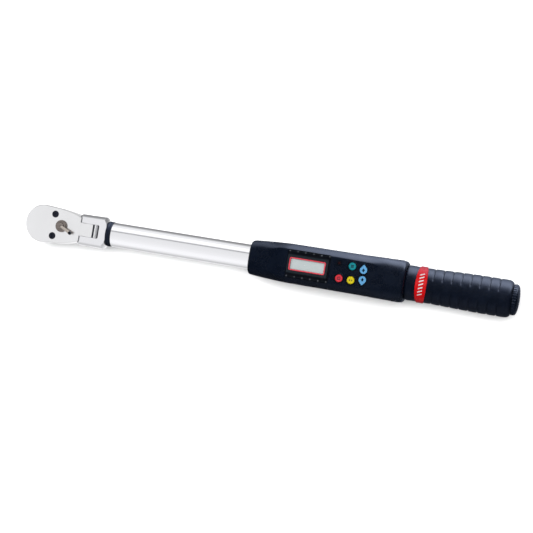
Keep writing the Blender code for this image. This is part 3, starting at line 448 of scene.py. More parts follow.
# ---------------- ratchet head
SHOULDER_Y = 10.3
EAR_R = 11.0
TONGUE_Y, TONGUE_HALF, TONGUE_CORNER = 5.8, 8.47, 5.2
TONGUE_ROOT = 30.0
NOTCH_R, NOTCH_BACK, NOTCH_Z = 0.85, 3.9, 8.1
LEVER_HOLE_R = 2.75
COVER_SCREW_R, COUNTERBORE_R = 3.05, 3.2


def head_outline(end_x):
    """The teardrop outline of the head, squared off at end_x."""
    side = bezier((2.95, 16.74), (14.0, 15.6), (26.0, 15.4), (HEAD_END, SHOULDER_Y), 20)
    lower = [(x, -y) for x, y in side]
    points = arc((0, 0), HEAD_R, 80, 280, 56)
    points += lower[1:]
    if end_x > HEAD_END:
        points += [(end_x, -SHOULDER_Y), (end_x, SHOULDER_Y)]
    return points + list(reversed(side))[:-1]


def ear_reliefs():
    """Two round cutters that make room for the yoke's ears."""
    return [rod(f"relief_{low}", EAR_R + 0.35, low, low + FAR, FLEX_AXIS, "Y", sides=160)
            for low in (TONGUE_Y, -TONGUE_Y - FAR)]


def make_head_body():
    """The casting, with its tongue, and room for the gear and the pawl."""
    top = COVER_LOW.z - GAP
    body = prism("head_casting", head_outline(HEAD_END + 2), BODY_LOW.z, top, foot=0.8)
    end = BODY_HIGH.x
    corner_x, corner_z = end - TONGUE_CORNER, TONGUE_HALF - TONGUE_CORNER
    riser, step = HEAD_END + 0.02, top - AXIS_Z - 1.0
    profile = [(TONGUE_ROOT, -TONGUE_HALF), *arc((corner_x, -corner_z), TONGUE_CORNER, -90, 0, 14),
               *arc((corner_x, corner_z), TONGUE_CORNER, 0, 90, 14), (riser, TONGUE_HALF),
               (riser, step), (TONGUE_ROOT, step)]
    tongue = prism("tongue", [(x, z + AXIS_Z) for x, z in profile], -TONGUE_Y, TONGUE_Y, "Y")
    for side in (-1, 1):
        spot = (end - NOTCH_BACK, 0, AXIS_Z + side * NOTCH_Z)
        cut(tongue, rod("end_notch", NOTCH_R, -10, 10, spot, "Y", 24))
    join(tongue, rod("thrust_face", 8.0, -TONGUE_Y - 0.22, TONGUE_Y + 0.22, FLEX_AXIS, "Y", 96))
    cut(body, *ear_reliefs())
    join(body, tongue)
    cavity = corners("pawl")[0].z - 0.4
    pocket = [(8.0, 7.6), (12.1, 8.2), (15.2, 7.3), (18.8, 5.4)]
    room = pocket + arc((LEVER_X, 0), 5.3, 70, -70, 16) + [(x, -y) for x, y in reversed(pocket)]
    cut(body, rod("gear_room", 11.8, cavity, 30), rod("boss_hole", 8.35, 0, cavity + 1),
        prism("pawl_room", room, cavity, 30), rod("flex_hole", PIN_R + RUN, -15, 15, FLEX_AXIS, "Y"))
    soften_edges(body, 0.3)
    publish(body, "head_body")
    # The faces round the tongue's end notches take the black oxide finish: painted shade that darkens the
    # grooves.
    body.data.materials.append(LOOKS["black_oxide"])
    for face in body.data.polygons:
        x, y, z = face.center / MM
        if math.hypot(x - end + NOTCH_BACK, abs(z - AXIS_Z) - NOTCH_Z) < NOTCH_R + 0.05:
            face.material_index = 1


def shrunk(points, width):
    """The head's outline, moved inwards except where it meets the tongue."""
    moved = []
    for before, here, after in zip(points[-1:] + points[:-1], points, points[1:] + points[:1]):
        run = (Vector(after) - Vector(before)).normalized()
        if here[0] > HEAD_END - 0.01 and abs(here[1]) <= TONGUE_Y:
            moved.append(here)
        else:
            moved.append((here[0] - run.y * width, here[1] + run.x * width))
    return moved


def make_cover():
    """The cover has a steep chamfer round its upper edge."""
    outline = head_outline(HEAD_END)
    corner = outline.index((HEAD_END, -SHOULDER_Y)) + 1
    tongue = (-TONGUE_Y - 0.2, -TONGUE_Y, TONGUE_Y, TONGUE_Y + 0.2)
    outline[corner:corner] = [(HEAD_END, y) for y in tongue]
    rows = [(outline, COVER_LOW.z), (outline, HEAD_TOP - 1.15), (shrunk(outline, 0.12), HEAD_TOP - 1.0),
            (shrunk(outline, 0.62), HEAD_TOP - 0.1), (shrunk(outline, 0.75), HEAD_TOP)]
    plate = loft("head_cover", [[(x, y, z) for x, y in row] for row, z in rows])
    cut(plate, *ear_reliefs())
    cut(plate, rod("lever_hole", LEVER_HOLE_R, 20, 40, (LEVER_X, 0, 0)))
    for side in (-1, 1):
        spot = (SCREW_X, side * SCREW_Y, 0)
        cut(plate, rod("counterbore", COUNTERBORE_R, HEAD_TOP - 1.5, 40, spot),
            rod("screw_hole", 1.2, 20, 40, spot))
    publish(plate, "cover_plate")


def make_cover_screws():
    """Flat socket screws that sit flush in the cover."""
    low, top = SCREW_LOW.z, SCREW_HIGH.z
    for number, side in ((1, -1), (2, 1)):
        spot = (SCREW_X, side * SCREW_Y, 0)
        profile = [(low, 0), (low, 1.0), (top - 1.45, 1.0), (top - 1.35, 2.9), (top - 0.3, COVER_SCREW_R),
                   (top, 2.85), (top, 0)]
        screw = turned(f"cover_bolt_{number}", softened(profile, 0.15), spot, "Z", 64)
        cut(screw, prism("socket", hexagon(SCREW_X, side * SCREW_Y, 1.35), top - 1.1, top + 1))
        publish(screw, f"cover_screw_{number}")


GEAR_TEETH = 36
DRIVE_SQUARE = 9.53


def make_drive():
    """Gear, boss and square in one piece."""
    teeth = []
    for k in range(GEAR_TEETH):
        for offset, radius in ((0.0, 10.9), (0.4, 11.5), (0.6, 11.5)):
            angle = math.radians((k + offset) * (360 / GEAR_TEETH))
            teeth.append((radius * math.cos(angle), radius * math.sin(angle)))
    anvil = prism("drive_square", teeth, 13.9, 24.8)
    half = DRIVE_SQUARE / 2
    square = prism("square", round_rectangle(-half, -half, half, half, 0.8), DRIVE_TIP, 12.0, foot=0.7)
    join(anvil, rod("boss", 8.2, 10.4, 14.9, edge=0.3), square)
    cut(anvil, rod("detent_hole", 1.75, -1.5, 6.5, (0, 0, 4.6), "X"))
    soften_edges(anvil, 0.12)
    publish(anvil, "drive_anvil")


def make_detent_ball():
    low, high = corners("socket_detent_ball")
    ball = turned("detent_ball", arc((0, 0), (high.x - low.x) / 2, 180, 0, 24), (low + high) / 2, "X", 48)
    publish(ball, "socket_detent_ball")


def stem_line():
    """Where the lever's stem starts, and its direction."""
    rise, turn = math.radians(11.3), math.radians(-25.0)
    root = Vector((LEVER_X, 0, HEAD_TOP + 2.6))
    return root, Vector((math.cos(rise) * math.cos(turn), math.cos(rise) * math.sin(turn), math.sin(rise)))


def stem_piece(name, profile):
    """Turn a profile about the stem's line."""
    root, direction = stem_line()
    piece = turned(name, profile, (0, 0, 0), "Z", 40)
    piece.data.transform(Matrix.Translation(root) @ direction.to_track_quat("Z", "Y").to_matrix().to_4x4())
    return piece


def make_lever():
    disc = HEAD_TOP + GAP
    profile = [(LEVER_FOOT, 0), (LEVER_FOOT, 2.6), (disc, 2.6), (disc, 5.45), (disc + 0.9, 5.45),
               (disc + 1.1, 4.6), (disc + 1.7, 4.3), (disc + 1.8, 2.9), (disc + 3.0, 2.6),
               (disc + 3.7, 1.5), (disc + 3.8, 0)]
    lever = turned("thumb_lever", softened(profile, 0.25), (LEVER_X, 0, 0), "Z", 80)
    cut(lever, stem_piece("stem_socket", [(0.9, 0), (0.9, 1.38), (9, 1.38), (9, 0)]))
    publish(lever, "reverse_lever")
    stem = [(0.93, 0), (0.93, 1.35), (12.0, 1.35), (12.0, 0)]
    publish(stem_piece("lever_rod", softened(stem, 0.2)), "lever_stem", look="pale_warm_steel")
    tip = [(10.9, 1.38), (10.9, 1.6), (13.0, 1.6), (13.0, 0), (12.2, 0), (12.2, 1.38)]
    publish(stem_piece("lever_cap", softened(tip, 0.4)), "lever_tip").visible_glossy = False


# ---------------- yoke and front tube
YOKE_PAST = 78      # past the yoke's rear end


def make_yoke():
    """A fork with flat cheeks and round ears, turned down to a collar at its rear."""
    rear = RING_LOW.x - 0.35
    profile = [(31.0, 0), (31.0, 10.8), (34.4, 14.2), (57.4, 14.5), (rear, 11.3), (rear, 9.0),
               (YOKE_END, 9.0), (YOKE_END, 0)]
    yoke = turned("yoke_fork", softened(profile, 0.8, 4), AXIS, "X", 160)
    flat, collar, past = 8.6, 9.4, YOKE_PAST
    start = math.degrees(math.acos(-math.sqrt(EAR_R ** 2 - flat ** 2) / EAR_R))
    side_view = arc((FLEX_X, 0), EAR_R, start, 360 - start, 36)
    side_view += [(rear, -flat), (rear + 0.2, -collar), (past, -collar), (past, collar),
                  (rear + 0.2, collar), (rear, flat)]
    flats = prism("flats", [(x, z + AXIS_Z) for x, z in side_view], -FAR, FAR, "Y")
    combine(yoke, [flats], "INTERSECT")
    cut(yoke, prism("slot", round_rectangle(20.0, -6.1, 53.35, 6.1, 1.3), 5, 35),
        rod("pin_hole", PIN_R + RUN, -FAR, FAR, FLEX_AXIS, "Y"),
        rod("plunger_bore", 2.15, 50.5, 60.5, AXIS, "X"), rod("beam_bore", 5.65, 62, 82, AXIS, "X"))
    soften_edges(yoke, 0.35)
    publish(yoke, "yoke")


def make_flex_pin():
    profile = [(-PIN_END, 0), (-PIN_END, PIN_R), (PIN_END, PIN_R), (PIN_END, 0)]
    pin = turned("pivot_pin", softened(profile, 0.4), FLEX_AXIS, "Y", 64)
    for end in (-1, 1):
        low, high = sorted((end * (PIN_END - 1.4), end * (PIN_END + 1)))
        cut(pin, prism("socket", hexagon(FLEX_X, AXIS_Z, 1.6), low, high, "Y"))
    publish(pin, "flex_pin")


def make_seal_ring():
    inner, outer = 9.25, (RING_HIGH.z - RING_LOW.z) / 2
    x0, x1 = RING_LOW.x, RING_HIGH.x
    waist = (x0 + x1) / 2
    profile = [(x0, inner), (x0, outer - 0.3), (x0 + 0.5, outer), (waist - 0.35, outer),
               (waist, outer - 0.3), (waist + 0.35, outer), (x1 - 0.5, outer), (x1, outer - 0.3),
               (x1, inner)]
    ring = turned("seal_collar", softened(profile, 0.2), AXIS, "X", 128, ring=True)
    publish(ring, "yoke_seal_ring", look="seal_rubber")


def make_tube():
    bore = 9.3
    profile = [(TUBE_LOW.x, bore), (TUBE_LOW.x, TUBE_R), (TUBE_HIGH.x, TUBE_R), (TUBE_HIGH.x, bore)]
    publish(turned("chrome_tube", softened(profile, 0.4, 4), AXIS, "X", 192, ring=True), "front_tube")


# ---------------- housing
# x from the nose, half width, half height, half width of the flat, corner height, corner power
SECTIONS = [
    (0.0, 13.7, 12.3, 3.0, 9.4, 2.0), (1.3, 14.9, 13.4, 3.5, 10.0, 2.0),
    (8.7, 15.8, 14.0, 5.0, 10.4, 2.0), (15.7, 16.3, 14.7, 7.5, 10.6, 1.8),
    (21.7, 16.65, 15.8, 10.0, 10.2, 1.6), (27.7, 16.9, 17.6, 11.6, 9.2, 1.5),
    (33.7, 17.1, 18.9, 11.9, 8.0, 1.3), (38.7, 17.2, 19.2, 11.7, 7.6, 1.25),
    (71.7, 17.35, 19.2, 11.5, 7.6, 1.25), (100.7, 17.5, 19.2, 11.0, 7.8, 1.25),
    (108.0, 17.65, 19.2, 10.6, 8.0, 1.3), (114.0, 17.8, 19.2, 9.6, 8.6, 1.5),
    (119.0, 17.9, 19.2, 7.0, 9.2, 1.8), (125.7, 18.0, 19.2, 3.5, 11.2, 2.0),
    (133.0, 18.2, 19.1, 2.8, 12.0, 2.0), (135.5, 18.0, 18.8, 2.8, 12.0, 2.0),
    (137.1, 17.4, 18.1, 2.8, 11.9, 2.0), (138.2, 15.9, 16.7, 2.8, 11.6, 2.0)]
WALL = 2.2
SEAM = 0.04         # half the gap along the shells' split


def housing_ring(x, inset=0.0, steps=14):
    """One cross section: flat top and bottom, straight sides and curved corners."""
    half_width, half_height, flat, corner, power = smooth_row(SECTIONS, x - NOSE)

    def quarter(flat_y, corner_z, bend):
        points = []
        for i in range(steps + 1):
            angle = math.pi / 2 * i / steps
            y = flat_y - inset * 0.3 + (half_width - flat_y - inset * 0.7) * math.sin(angle) ** bend
            z = half_height - corner_z + (corner_z - inset) * max(math.cos(angle), 0.0) ** bend
            points.append((y, z))
        return points

    right = quarter(flat, corner, 2.0 / power)
    right += [(y, -z) for y, z in reversed(quarter(flat * 0.85, corner * 1.12, 1.0))]
    left = [(-y, z) for y, z in reversed(right)]
    return [(x, y, AXIS_Z + z) for y, z in right + left]


def housing_stations():
    """Close together at both rounded ends and 1.5 mm apart between them."""
    near = [0.0, 0.12, 0.3, 0.55, 0.9, 1.3, 1.9, 2.7]
    count = 88
    first, last = NOSE + 3.6, TAIL - 7.0
    between = [first + (last - first) * i / count for i in range(count + 1)]
    tail = [6.0, 5.0, 4.2, 3.4, 2.7, 2.1, 1.5, 1.0, 0.6, 0.3, 0.12, 0.0]
    return [NOSE + x for x in near] + between + [TAIL - x for x in tail]


def half_housing(name, low, high):
    """The hollow housing with its bores, less what lies between two heights."""
    shell = loft(name, [housing_ring(x) for x in housing_stations()])
    inside = [NOSE + 9 + (TAIL - NOSE - 13) * i / 30 for i in range(31)]
    return cut(shell, loft("cavity", [housing_ring(x, WALL, 6) for x in inside]),
               block("other_half", (180, -30, low), (345, 30, high)),
               rod("front_bore", TUBE_R + GAP, 179, 209, AXIS, "X"),
               rod("rear_bore", HANDLE_BORE, 325, 345, AXIS, "X"))


ROUND_KEYS = ("key_power", "key_mode", "key_units")
DROP_KEYS = (("key_up", 1), ("key_down", -1))
ROUND_KEY_R, DROP_KEY_R, DROP_TIP = 3.25, 3.15, 5.05
WELL_MARGIN, WELL_DEPTH = 1.2, 0.7


def key_centre(node):
    """Centre of a key; a drop key's origin is the centre of its round end."""
    low, high = corners(node)
    middle = (low + high) / 2
    side = dict(DROP_KEYS).get(node, 0)
    return middle.x, middle.y - side * (DROP_TIP - DROP_KEY_R) / 2


def drop_outline(x, y, side, radius, tip, blunt=0.35):
    """A round key with one pointed side, along +Y or -Y."""
    tangent = math.degrees(math.acos(radius / tip))
    around = arc((0, 0), radius, 90 - tangent, -270 + tangent, 40)
    path = softened([around[-1], (0.0, tip), around[0]], blunt * 2, 5)
    return [(x + px, y + side * py) for px, py in around + path[1:-1]]


def make_housing_front():
    shell = half_housing("display_housing", -10, AXIS_Z + SEAM)
    cut(shell, prism("recess", grown(PLATE_LOW, PLATE_HIGH, GAP, 1.6), PANEL_Z - 0.8, PANEL_Z + 2),
        prism("window", grown(BEZEL_LOW, BEZEL_HIGH, -1, 1.0), 30, PANEL_Z + 2),
        rod("led_hole", 1.45, 33, 42, (LED_X, LED_Y, 0)))
    cutters = []
    floor, above = PANEL_Z - WELL_DEPTH, PANEL_Z + 1
    for node in ROUND_KEYS:
        x, y = key_centre(node)
        cutters += [rod(node + "_well", ROUND_KEY_R + WELL_MARGIN, floor, above, (x, y, 0)),
                    rod(node + "_hole", ROUND_KEY_R + GAP, 32, PANEL_Z + 2, (x, y, 0))]
    for node, side in DROP_KEYS:
        x, y = key_centre(node)
        well = drop_outline(x, y, side, DROP_KEY_R + WELL_MARGIN, DROP_TIP + 1.35 * WELL_MARGIN, 0.6)
        hole = drop_outline(x, y, side, DROP_KEY_R + GAP, DROP_TIP + 1.4 * GAP)
        cutters += [prism(node + "_well", well, floor, above),
                    prism(node + "_hole", hole, 32, PANEL_Z + 2)]
    cut(shell, *cutters)
    publish(shell, "housing_front", sharp=24)


def make_housing_back():
    shell = half_housing("back_housing", AXIS_Z - SEAM, 60)
    for number in range(1, 5):
        x, y, _ = middle(f"case_screw_{number}")
        join(shell, rod("seat", 2.85, 4.2, 8.0, (x, y, 0)))
        cut(shell, rod("head_hole", 2.15, -1, 5.4, (x, y, 0)), rod("shank_hole", 1.1, 4, 12, (x, y, 0)))
    publish(shell, "housing_back", sharp=24)


# ---------------- display
PRINT_LOW = PANEL_Z + 0.01      # underside of what is printed on the panel


def frame_outline(grow, corner=1.0):
    """The window's outline, grown outwards."""
    return round_rectangle(BEZEL_LOW.x + 1 - grow, BEZEL_LOW.y + 1 - grow, BEZEL_HIGH.x - 1 + grow,
                           BEZEL_HIGH.y - 1 + grow, corner + grow)


def opened(obj, grow, corner=1.0):
    """Cut the window's outline, grown outwards, through a piece."""
    return cut(obj, prism("opening", frame_outline(grow, corner), 30, 45))


def make_display():
    plate = prism("display_panel", grown(PLATE_LOW, PLATE_HIGH, 0, 1.4), PLATE_LOW.z, PANEL_Z, rim=0.12)
    publish(opened(plate, 1.2), "display_plate")
    outline = round_rectangle(PLATE_LOW.x + 0.4, -8.0, PLATE_HIGH.x - 1.5, 8.0, 0.8)
    surround = prism("display_surround", outline, PRINT_LOW, PANEL_Z + 0.1, rim=0.05)
    publish(opened(surround, 1.2), slot="black_plastic", look="panel_ink")
    bezel = prism("display_frame", frame_outline(0.95, 0.2), BEZEL_LOW.z, BEZEL_HIGH.z, rim=0.25)
    opened(bezel, 0.05, 0.4)
    soften_edges(bezel, 0.12)
    publish(bezel, "display_bezel")
    top = corners("display_lens")[1].z
    lens = prism("display_window", frame_outline(-0.2), top - 1.0, top, rim=0.1)
    publish(lens, "display_lens").visible_diffuse = False
    low, high = corners("lcd_module")
    publish(prism("lcd_glass", grown(low, high, 0, 0.8), low.z, high.z, rim=0.1), "lcd_module")


def make_indicators():
    """Two rows of printed dots on thin lines, above and below the display."""
    top = PANEL_Z + 0.06
    spots = [PLATE_LOW.x + 1.4 + 7.0 * i for i in range(6)]
    dots, lines = [], []
    for side in (-1, 1):
        y = side * 10.9
        for i, x in enumerate(spots):
            dots.append(rod(f"dot_{side}_{i}", 0.55, PRINT_LOW, top, (x, y, 0), sides=24))
        for i, (x0, x1) in enumerate(zip(spots, spots[1:])):
            lines.append(block(f"line_{side}_{i}", (x0 + 1.1, y - 0.1, PRINT_LOW),
                               (x1 - 1.1, y + 0.1, top - 0.02)))
    publish(group("indicator_dots", dots), slot="silicone_grey", look="legend_grey")
    publish(group("indicator_lines", lines), slot="silicone_grey", look="panel_ink")


def make_alert_window():
    """A small square grille round the alert light."""
    x, y, half = LED_X, LED_Y, 2.4
    grille = prism("alert_grille", round_rectangle(x - half, y - half, x + half, y + half, 0.5), PRINT_LOW,
                   PANEL_Z + 0.12, rim=0.05)
    for i in range(4):
        left = x - 1.95 + 1.08 * i
        slit = round_rectangle(left, y - 1.9, left + 0.62, y + 1.9, 0.25, 4)
        cut(grille, prism(f"slit_{i}", slit, PANEL_Z - 1, PANEL_Z + 1))
    publish(grille, slot="black_plastic")
    profile = [(33.0, 0), (33.0, 1.2), (PANEL_Z - 0.4, 1.2), (PANEL_Z - 0.15, 0.9), (PANEL_Z - 0.1, 0)]
    publish(turned("alert_lens", profile, (x, y, 0), "Z", 48), "alert_led")


# ---------------- keys
def button(node):
    return node.removeprefix("key_") + "_button"


def make_round_key(node):
    x, y = key_centre(node)
    low, high = corners(node)
    top = high.z
    profile = [(low.z, 0), (low.z, 3.95), (low.z + 0.8, 3.95), (low.z + 0.8, ROUND_KEY_R),
               (top - 0.35, ROUND_KEY_R), (top, ROUND_KEY_R - 0.6), (top, 2.3), (top - 0.12, 1.5),
               (top - 0.15, 0)]
    publish(turned(button(node), softened(profile, 0.25), (x, y, 0), "Z", 72), node)


def make_key_shade_rims():
    """Black rims that line the wells round the keys; their black is painted shade for the dark gap round
    each key.
    """
    top = PANEL_Z + 0.16
    floor = PANEL_Z - WELL_DEPTH + 0.02
    shade_rims = []
    for node in ROUND_KEYS:
        x, y = key_centre(node)
        inner, outer = ROUND_KEY_R + 0.3, ROUND_KEY_R + WELL_MARGIN - 0.06
        profile = [(floor, inner), (floor, outer), (top, outer), (top, inner + 0.2), (top - 0.2, inner)]
        shade_rims.append(turned(node + "_rim", softened(profile, 0.25), (x, y, 0), "Z", 72, ring=True))
    for node, side in DROP_KEYS:
        x, y = key_centre(node)
        outer = drop_outline(x, y, side, DROP_KEY_R + WELL_MARGIN - 0.06,
                             DROP_TIP + 1.35 * WELL_MARGIN - 0.08, 0.6)
        rim = prism(node + "_rim", outer, floor, top, rim=0.2)
        cut(rim, prism("opening", drop_outline(x, y, side, DROP_KEY_R + 0.3, DROP_TIP + 0.42), 30, 45))
        shade_rims.append(rim)
    publish(group("key_shade_rims", shade_rims), slot="black_plastic")


def make_drop_key(node, side):
    x, y = key_centre(node)
    low, high = corners(node)
    outline = drop_outline(x, y, side, DROP_KEY_R, DROP_TIP)
    key = prism(button(node), outline, low.z + 0.4, high.z, rim=0.5, steps=4)
    flange = prism("flange", drop_outline(x, y, side, DROP_KEY_R + 0.6, DROP_TIP + 0.6), low.z, low.z + 0.8)
    join(key, flange)
    publish(key, node)


def ink(name, shapes, node, look):
    publish(group(name, shapes), body=BODY_OF[node], slot="black_plastic", look=look)


def make_legends():
    """Plain symbols on the keys: a ring with a bar, three bars, two arrowheads and two arrows."""
    def flat(name, outline, top):
        return prism(name, outline, top - 0.2, top)

    (x, y), top = key_centre("key_power"), corners("key_power")[1].z - 0.02
    ring = arc((x, y), 1.55, 125, 415, 30) + list(reversed(arc((x, y), 0.95, 125, 415, 30)))
    bar = round_rectangle(x - 0.3, y + 0.35, x + 0.3, y + 1.8, 0.2, 3)
    ink("power_symbol", [flat("ring", ring, top), flat("bar", bar, top)], "key_power", "legend_dark")
    (x, y), top = key_centre("key_mode"), corners("key_mode")[1].z - 0.02
    bars = [round_rectangle(x - 1.3, y + i * 0.95 - 0.28, x + 1.3, y + i * 0.95 + 0.28, 0.2, 3)
            for i in (-1, 0, 1)]
    ink("mode_symbol", [flat("bar", bar, top) for bar in bars], "key_mode", "legend_dark")
    (x, y), top = key_centre("key_units"), corners("key_units")[1].z - 0.02
    heads = [[(x + side * 1.75, y), (x + side * 0.5, y + 0.85), (x + side * 0.5, y - 0.85)]
             for side in (-1, 1)]
    ink("units_symbol", [flat("head", head, top) for head in heads], "key_units", "legend_dark")
    shape = [(-1.5, -0.5), (0, 1.6), (1.5, -0.5), (0.62, -0.5), (0.62, -1.5), (-0.62, -1.5), (-0.62, -0.5)]
    for node, side in DROP_KEYS:
        (x, y), top = key_centre(node), corners(node)[1].z
        arrow = prism("arrow", [(x + px, y + side * py) for px, py in shape], top - 0.05, top)
        ink(node + "_arrow", [arrow], node, "legend_blue")


# ---------------- handle
GRIP_START = TAIL + 0.1
GRIP_SIDES = 144
LIP = 2.0               # the neck's round edge
END_CORNER = 5.0
FIRST_GROOVE = 23.3
GROOVES, GROOVE_PITCH, GROOVE_DEPTH = 8, 7.94, 0.65


def grip_radius(x):
    """Outer radius of the grip: a slim neck that swells towards the end."""
    start, end = GRIP_START, GRIP_HIGH.x + 0.8
    neck, full = 15.0, 16.1
    if x < start + LIP:
        return 14.2 + 0.8 * math.sqrt(1 - (1 - (x - start) / LIP) ** 2)
    swell = min(max((x - start - 19.0) / 48.0, 0.0), 1.0)
    radius = neck + (full - neck) * math.sin(math.pi / 2 * swell) ** 1.3
    if x > end - END_CORNER:
        radius -= END_CORNER - math.sqrt(max(END_CORNER ** 2 - (x - end + END_CORNER) ** 2, 0.0))
    return radius


def grip_relief(x, angle):
    """Finger grooves at both sides, steeper on the grip's end side, which stop short of the top."""
    side = abs(math.sin(angle))
    fade = min(max((side - 0.22) / 0.2, 0.0), 1.0)
    fade = fade * fade * (3 - 2 * fade)
    first = GRIP_LOW.x + FIRST_GROOVE
    nearest = min(max(round((x - first) / GROOVE_PITCH), 0), GROOVES - 1)
    distance = x - first - nearest * GROOVE_PITCH
    groove = math.exp(-(distance / (0.85 if distance < 0 else 0.22)) ** 2) * GROOVE_DEPTH
    crown = 0.07 * math.cos(2 * math.pi * distance / GROOVE_PITCH)
    return (groove + crown) * fade


def make_grip():
    start, end = GRIP_START, GRIP_HIGH.x
    stations = [start + LIP * (i / 8) ** 2 for i in range(9)]
    stations += [start + LIP + 19.0 * i / 14 for i in range(1, 14)]
    groove_start = start + 21.0
    groove_end = start + FIRST_GROOVE + GROOVE_PITCH * (GROOVES - 1) + 2.3
    fine = round((groove_end - groove_start) / 0.22)
    stations += [groove_start + (groove_end - groove_start) * i / fine for i in range(fine + 1)]
    last = end + 0.8 - END_CORNER
    stations += [groove_end + (last - groove_end) * i / 6 for i in range(1, 6)]
    stations += [last + (end - last) * math.sin(math.pi / 2 * i / 12) for i in range(13)]
    angles = [2 * math.pi * i / GRIP_SIDES for i in range(GRIP_SIDES)]

    def ring(x, radii):
        return [(x, r * math.sin(a), AXIS_Z + r * math.cos(a)) for a, r in zip(angles, radii)]

    outer = [ring(x, [grip_radius(x) - grip_relief(x, a) for a in angles]) for x in stations]
    inner = [ring(x, [HANDLE_BORE] * GRIP_SIDES) for x in (end, start)]
    publish(loft("rubber_grip", outer + inner, ring=True), "grip_sleeve", sharp=50)


BADGE_LIMIT = 100.0     # how far the badge reaches round the grip, in degrees from the top
BADGE_R = 15.2


def badge_section(degrees):
    """A cross section of the badge at an angle round the grip; its ends are blunt."""
    angle = math.radians(degrees)
    width = 2.7 + 2.2 * max(math.cos(angle), 0.0)
    blunt, edge, high = 12.0, 0.25, BADGE_R + 0.6
    past = max(abs(degrees) - (BADGE_LIMIT - blunt), 0.0) / blunt
    width *= math.sqrt(max(1.0 - past * past, 0.03))
    spots = [(-width, BADGE_R), (width, BADGE_R), (width, high - edge), (width - edge, high),
             (-width + edge, high), (-width, high - edge)]
    return [(BADGE_X + u, r * math.sin(angle), AXIS_Z + r * math.cos(angle)) for u, r in spots]


def make_badge():
    """A blank lens-shaped badge that wraps over the neck of the grip, with plain slanted bars."""
    angles = [BADGE_LIMIT * math.sin(math.pi / 2 * (i / 40 - 1)) for i in range(81)]
    publish(loft("red_badge", [badge_section(a) for a in angles]), "badge_band", sharp=40)
    bars = []
    for k in range(7):
        centre = -33 + 11 * k
        rows = []
        for i in range(7):
            along = i / 6
            low = math.radians(centre - 1.9 + 6.0 * along - 3.0)
            high = math.radians(centre + 1.9 + 6.0 * along - 3.0)
            rows.append([(BADGE_X - 1.9 + 3.8 * along, r * math.sin(a), AXIS_Z + r * math.cos(a))
                         for a, r in ((low, 15.7), (high, 15.7), (high, 15.84), (low, 15.84))])
        bars.append(loft(f"bar_{k}", rows))
    publish(group("badge_bars", bars), slot="badge_red", look="legend_white")


CAP_R = 13.3
CAP_NOTCHES = 36


def make_cap():
    """The battery cap: a domed end with a fine serrated rim and a coin slot."""
    face = 423.3
    profile = [(422.6, 0), (422.6, 5.9), (416.5, 5.9), (416.5, 7.1), (416.9, 7.45), (face, 7.45),
               (face, CAP_R), (426.3, CAP_R), (427.6, 12.4), (428.7, 9.5), (429.3, 5.0), (CAP_END, 0)]
    cap = turned("end_cap", softened(profile, 0.7), AXIS, "X", 144)
    notches = []
    for k in range(CAP_NOTCHES):
        angle = 2 * math.pi * k / CAP_NOTCHES
        spot = (0, (CAP_R + 0.25) * math.sin(angle), AXIS_Z + (CAP_R + 0.25) * math.cos(angle))
        notches.append(rod(f"notch_{k}", 0.7, face - 1, 430, spot, "X", 12))
    cut(cap, *notches)
    cut(cap, block("coin_slot", (428.2, -7.5, AXIS_Z - 1.1), (431, 7.5, AXIS_Z + 1.1)))
    soften_edges(cap, 0.12)
    publish(cap, "battery_cap")


# ---------------- stage
# Brightness round the tool's axis, by angle from straight up (+Y is positive): what the
# steel parts reflect, and what everything else reflects
TENT_LEVELS = [(-180, 1.3), (-155, 1.2), (-138, 0.9), (-127, 0.75), (-114, 1.0), (-97, 1.3), (-80, 1.5),
               (-57, 1.5), (-40, 1.38), (-12, 1.28), (12, 1.25), (24, 1.2), (28, 0.5), (32, 0.5),
               (37, 1.3), (46, 1.8), (66, 1.8), (76, 1.35), (92, 1.4), (107, 0.75), (127, 0.35),
               (145, 0.4), (163, 0.9), (180, 1.3)]
BAND_LEVELS = [(-180, 0.1), (-122, 0.1), (-97, 0.14), (-77, 0.25), (-44, 0.06), (20, 0.03), (42, 0.2),
               (56, 0.8), (72, 5.0), (98, 5.0), (110, 3.0), (124, 1.4), (139, 0.6), (180, 0.2)]
BRIGHTEST = 10.0
FAR_SHARE = 0.25        # what is left of a tent's light at the head's end, where it fades


def stage_piece(obj, material):
    """Turn a stage piece into metres, in its one material."""
    obj.data.transform(Matrix.Scale(MM, 4))
    obj.data.materials.append(material)


def stage_material(name):
    material = bpy.data.materials.new(name)
    material.use_nodes = True
    return material, material.node_tree


def brightness_round_axis(tree, levels, tint):
    """A colour that reads a brightness table by the angle round the X axis, and the place along it."""
    link = tree.links.new
    place = add_node(tree, "SeparateXYZ")
    link(add_node(tree, "TexCoord").outputs["Object"], place.inputs["Vector"])
    angle = add_node(tree, "Math")
    angle.operation = "ARCTAN2"
    link(place.outputs["Y"], angle.inputs[0])
    link(place.outputs["Z"], angle.inputs[1])
    turn = add_node(tree, "MapRange", From_Min=-math.pi, From_Max=math.pi)
    link(angle.outputs["Value"], turn.inputs["Value"])
    ramp = add_node(tree, "ValToRGB")
    elements = ramp.color_ramp.elements
    while len(elements) < len(levels):
        elements.new(0.5)
    for element, (degrees, level) in zip(elements, levels):
        element.position = (degrees + 180) / 360
        element.color = (*(level / BRIGHTEST * c for c in tint), 1)
    link(turn.outputs["Result"], ramp.inputs["Fac"])
    return ramp.outputs["Color"], place.outputs["X"]


def make_world():
    """A room that is nearly dark: the light comes from the tents and the lamps."""
    world = bpy.data.worlds.new("room")
    world.use_nodes = True
    world.node_tree.nodes["Background"].inputs["Color"].default_value = (0.02, 0.022, 0.026, 1)
    bpy.context.scene.world = world


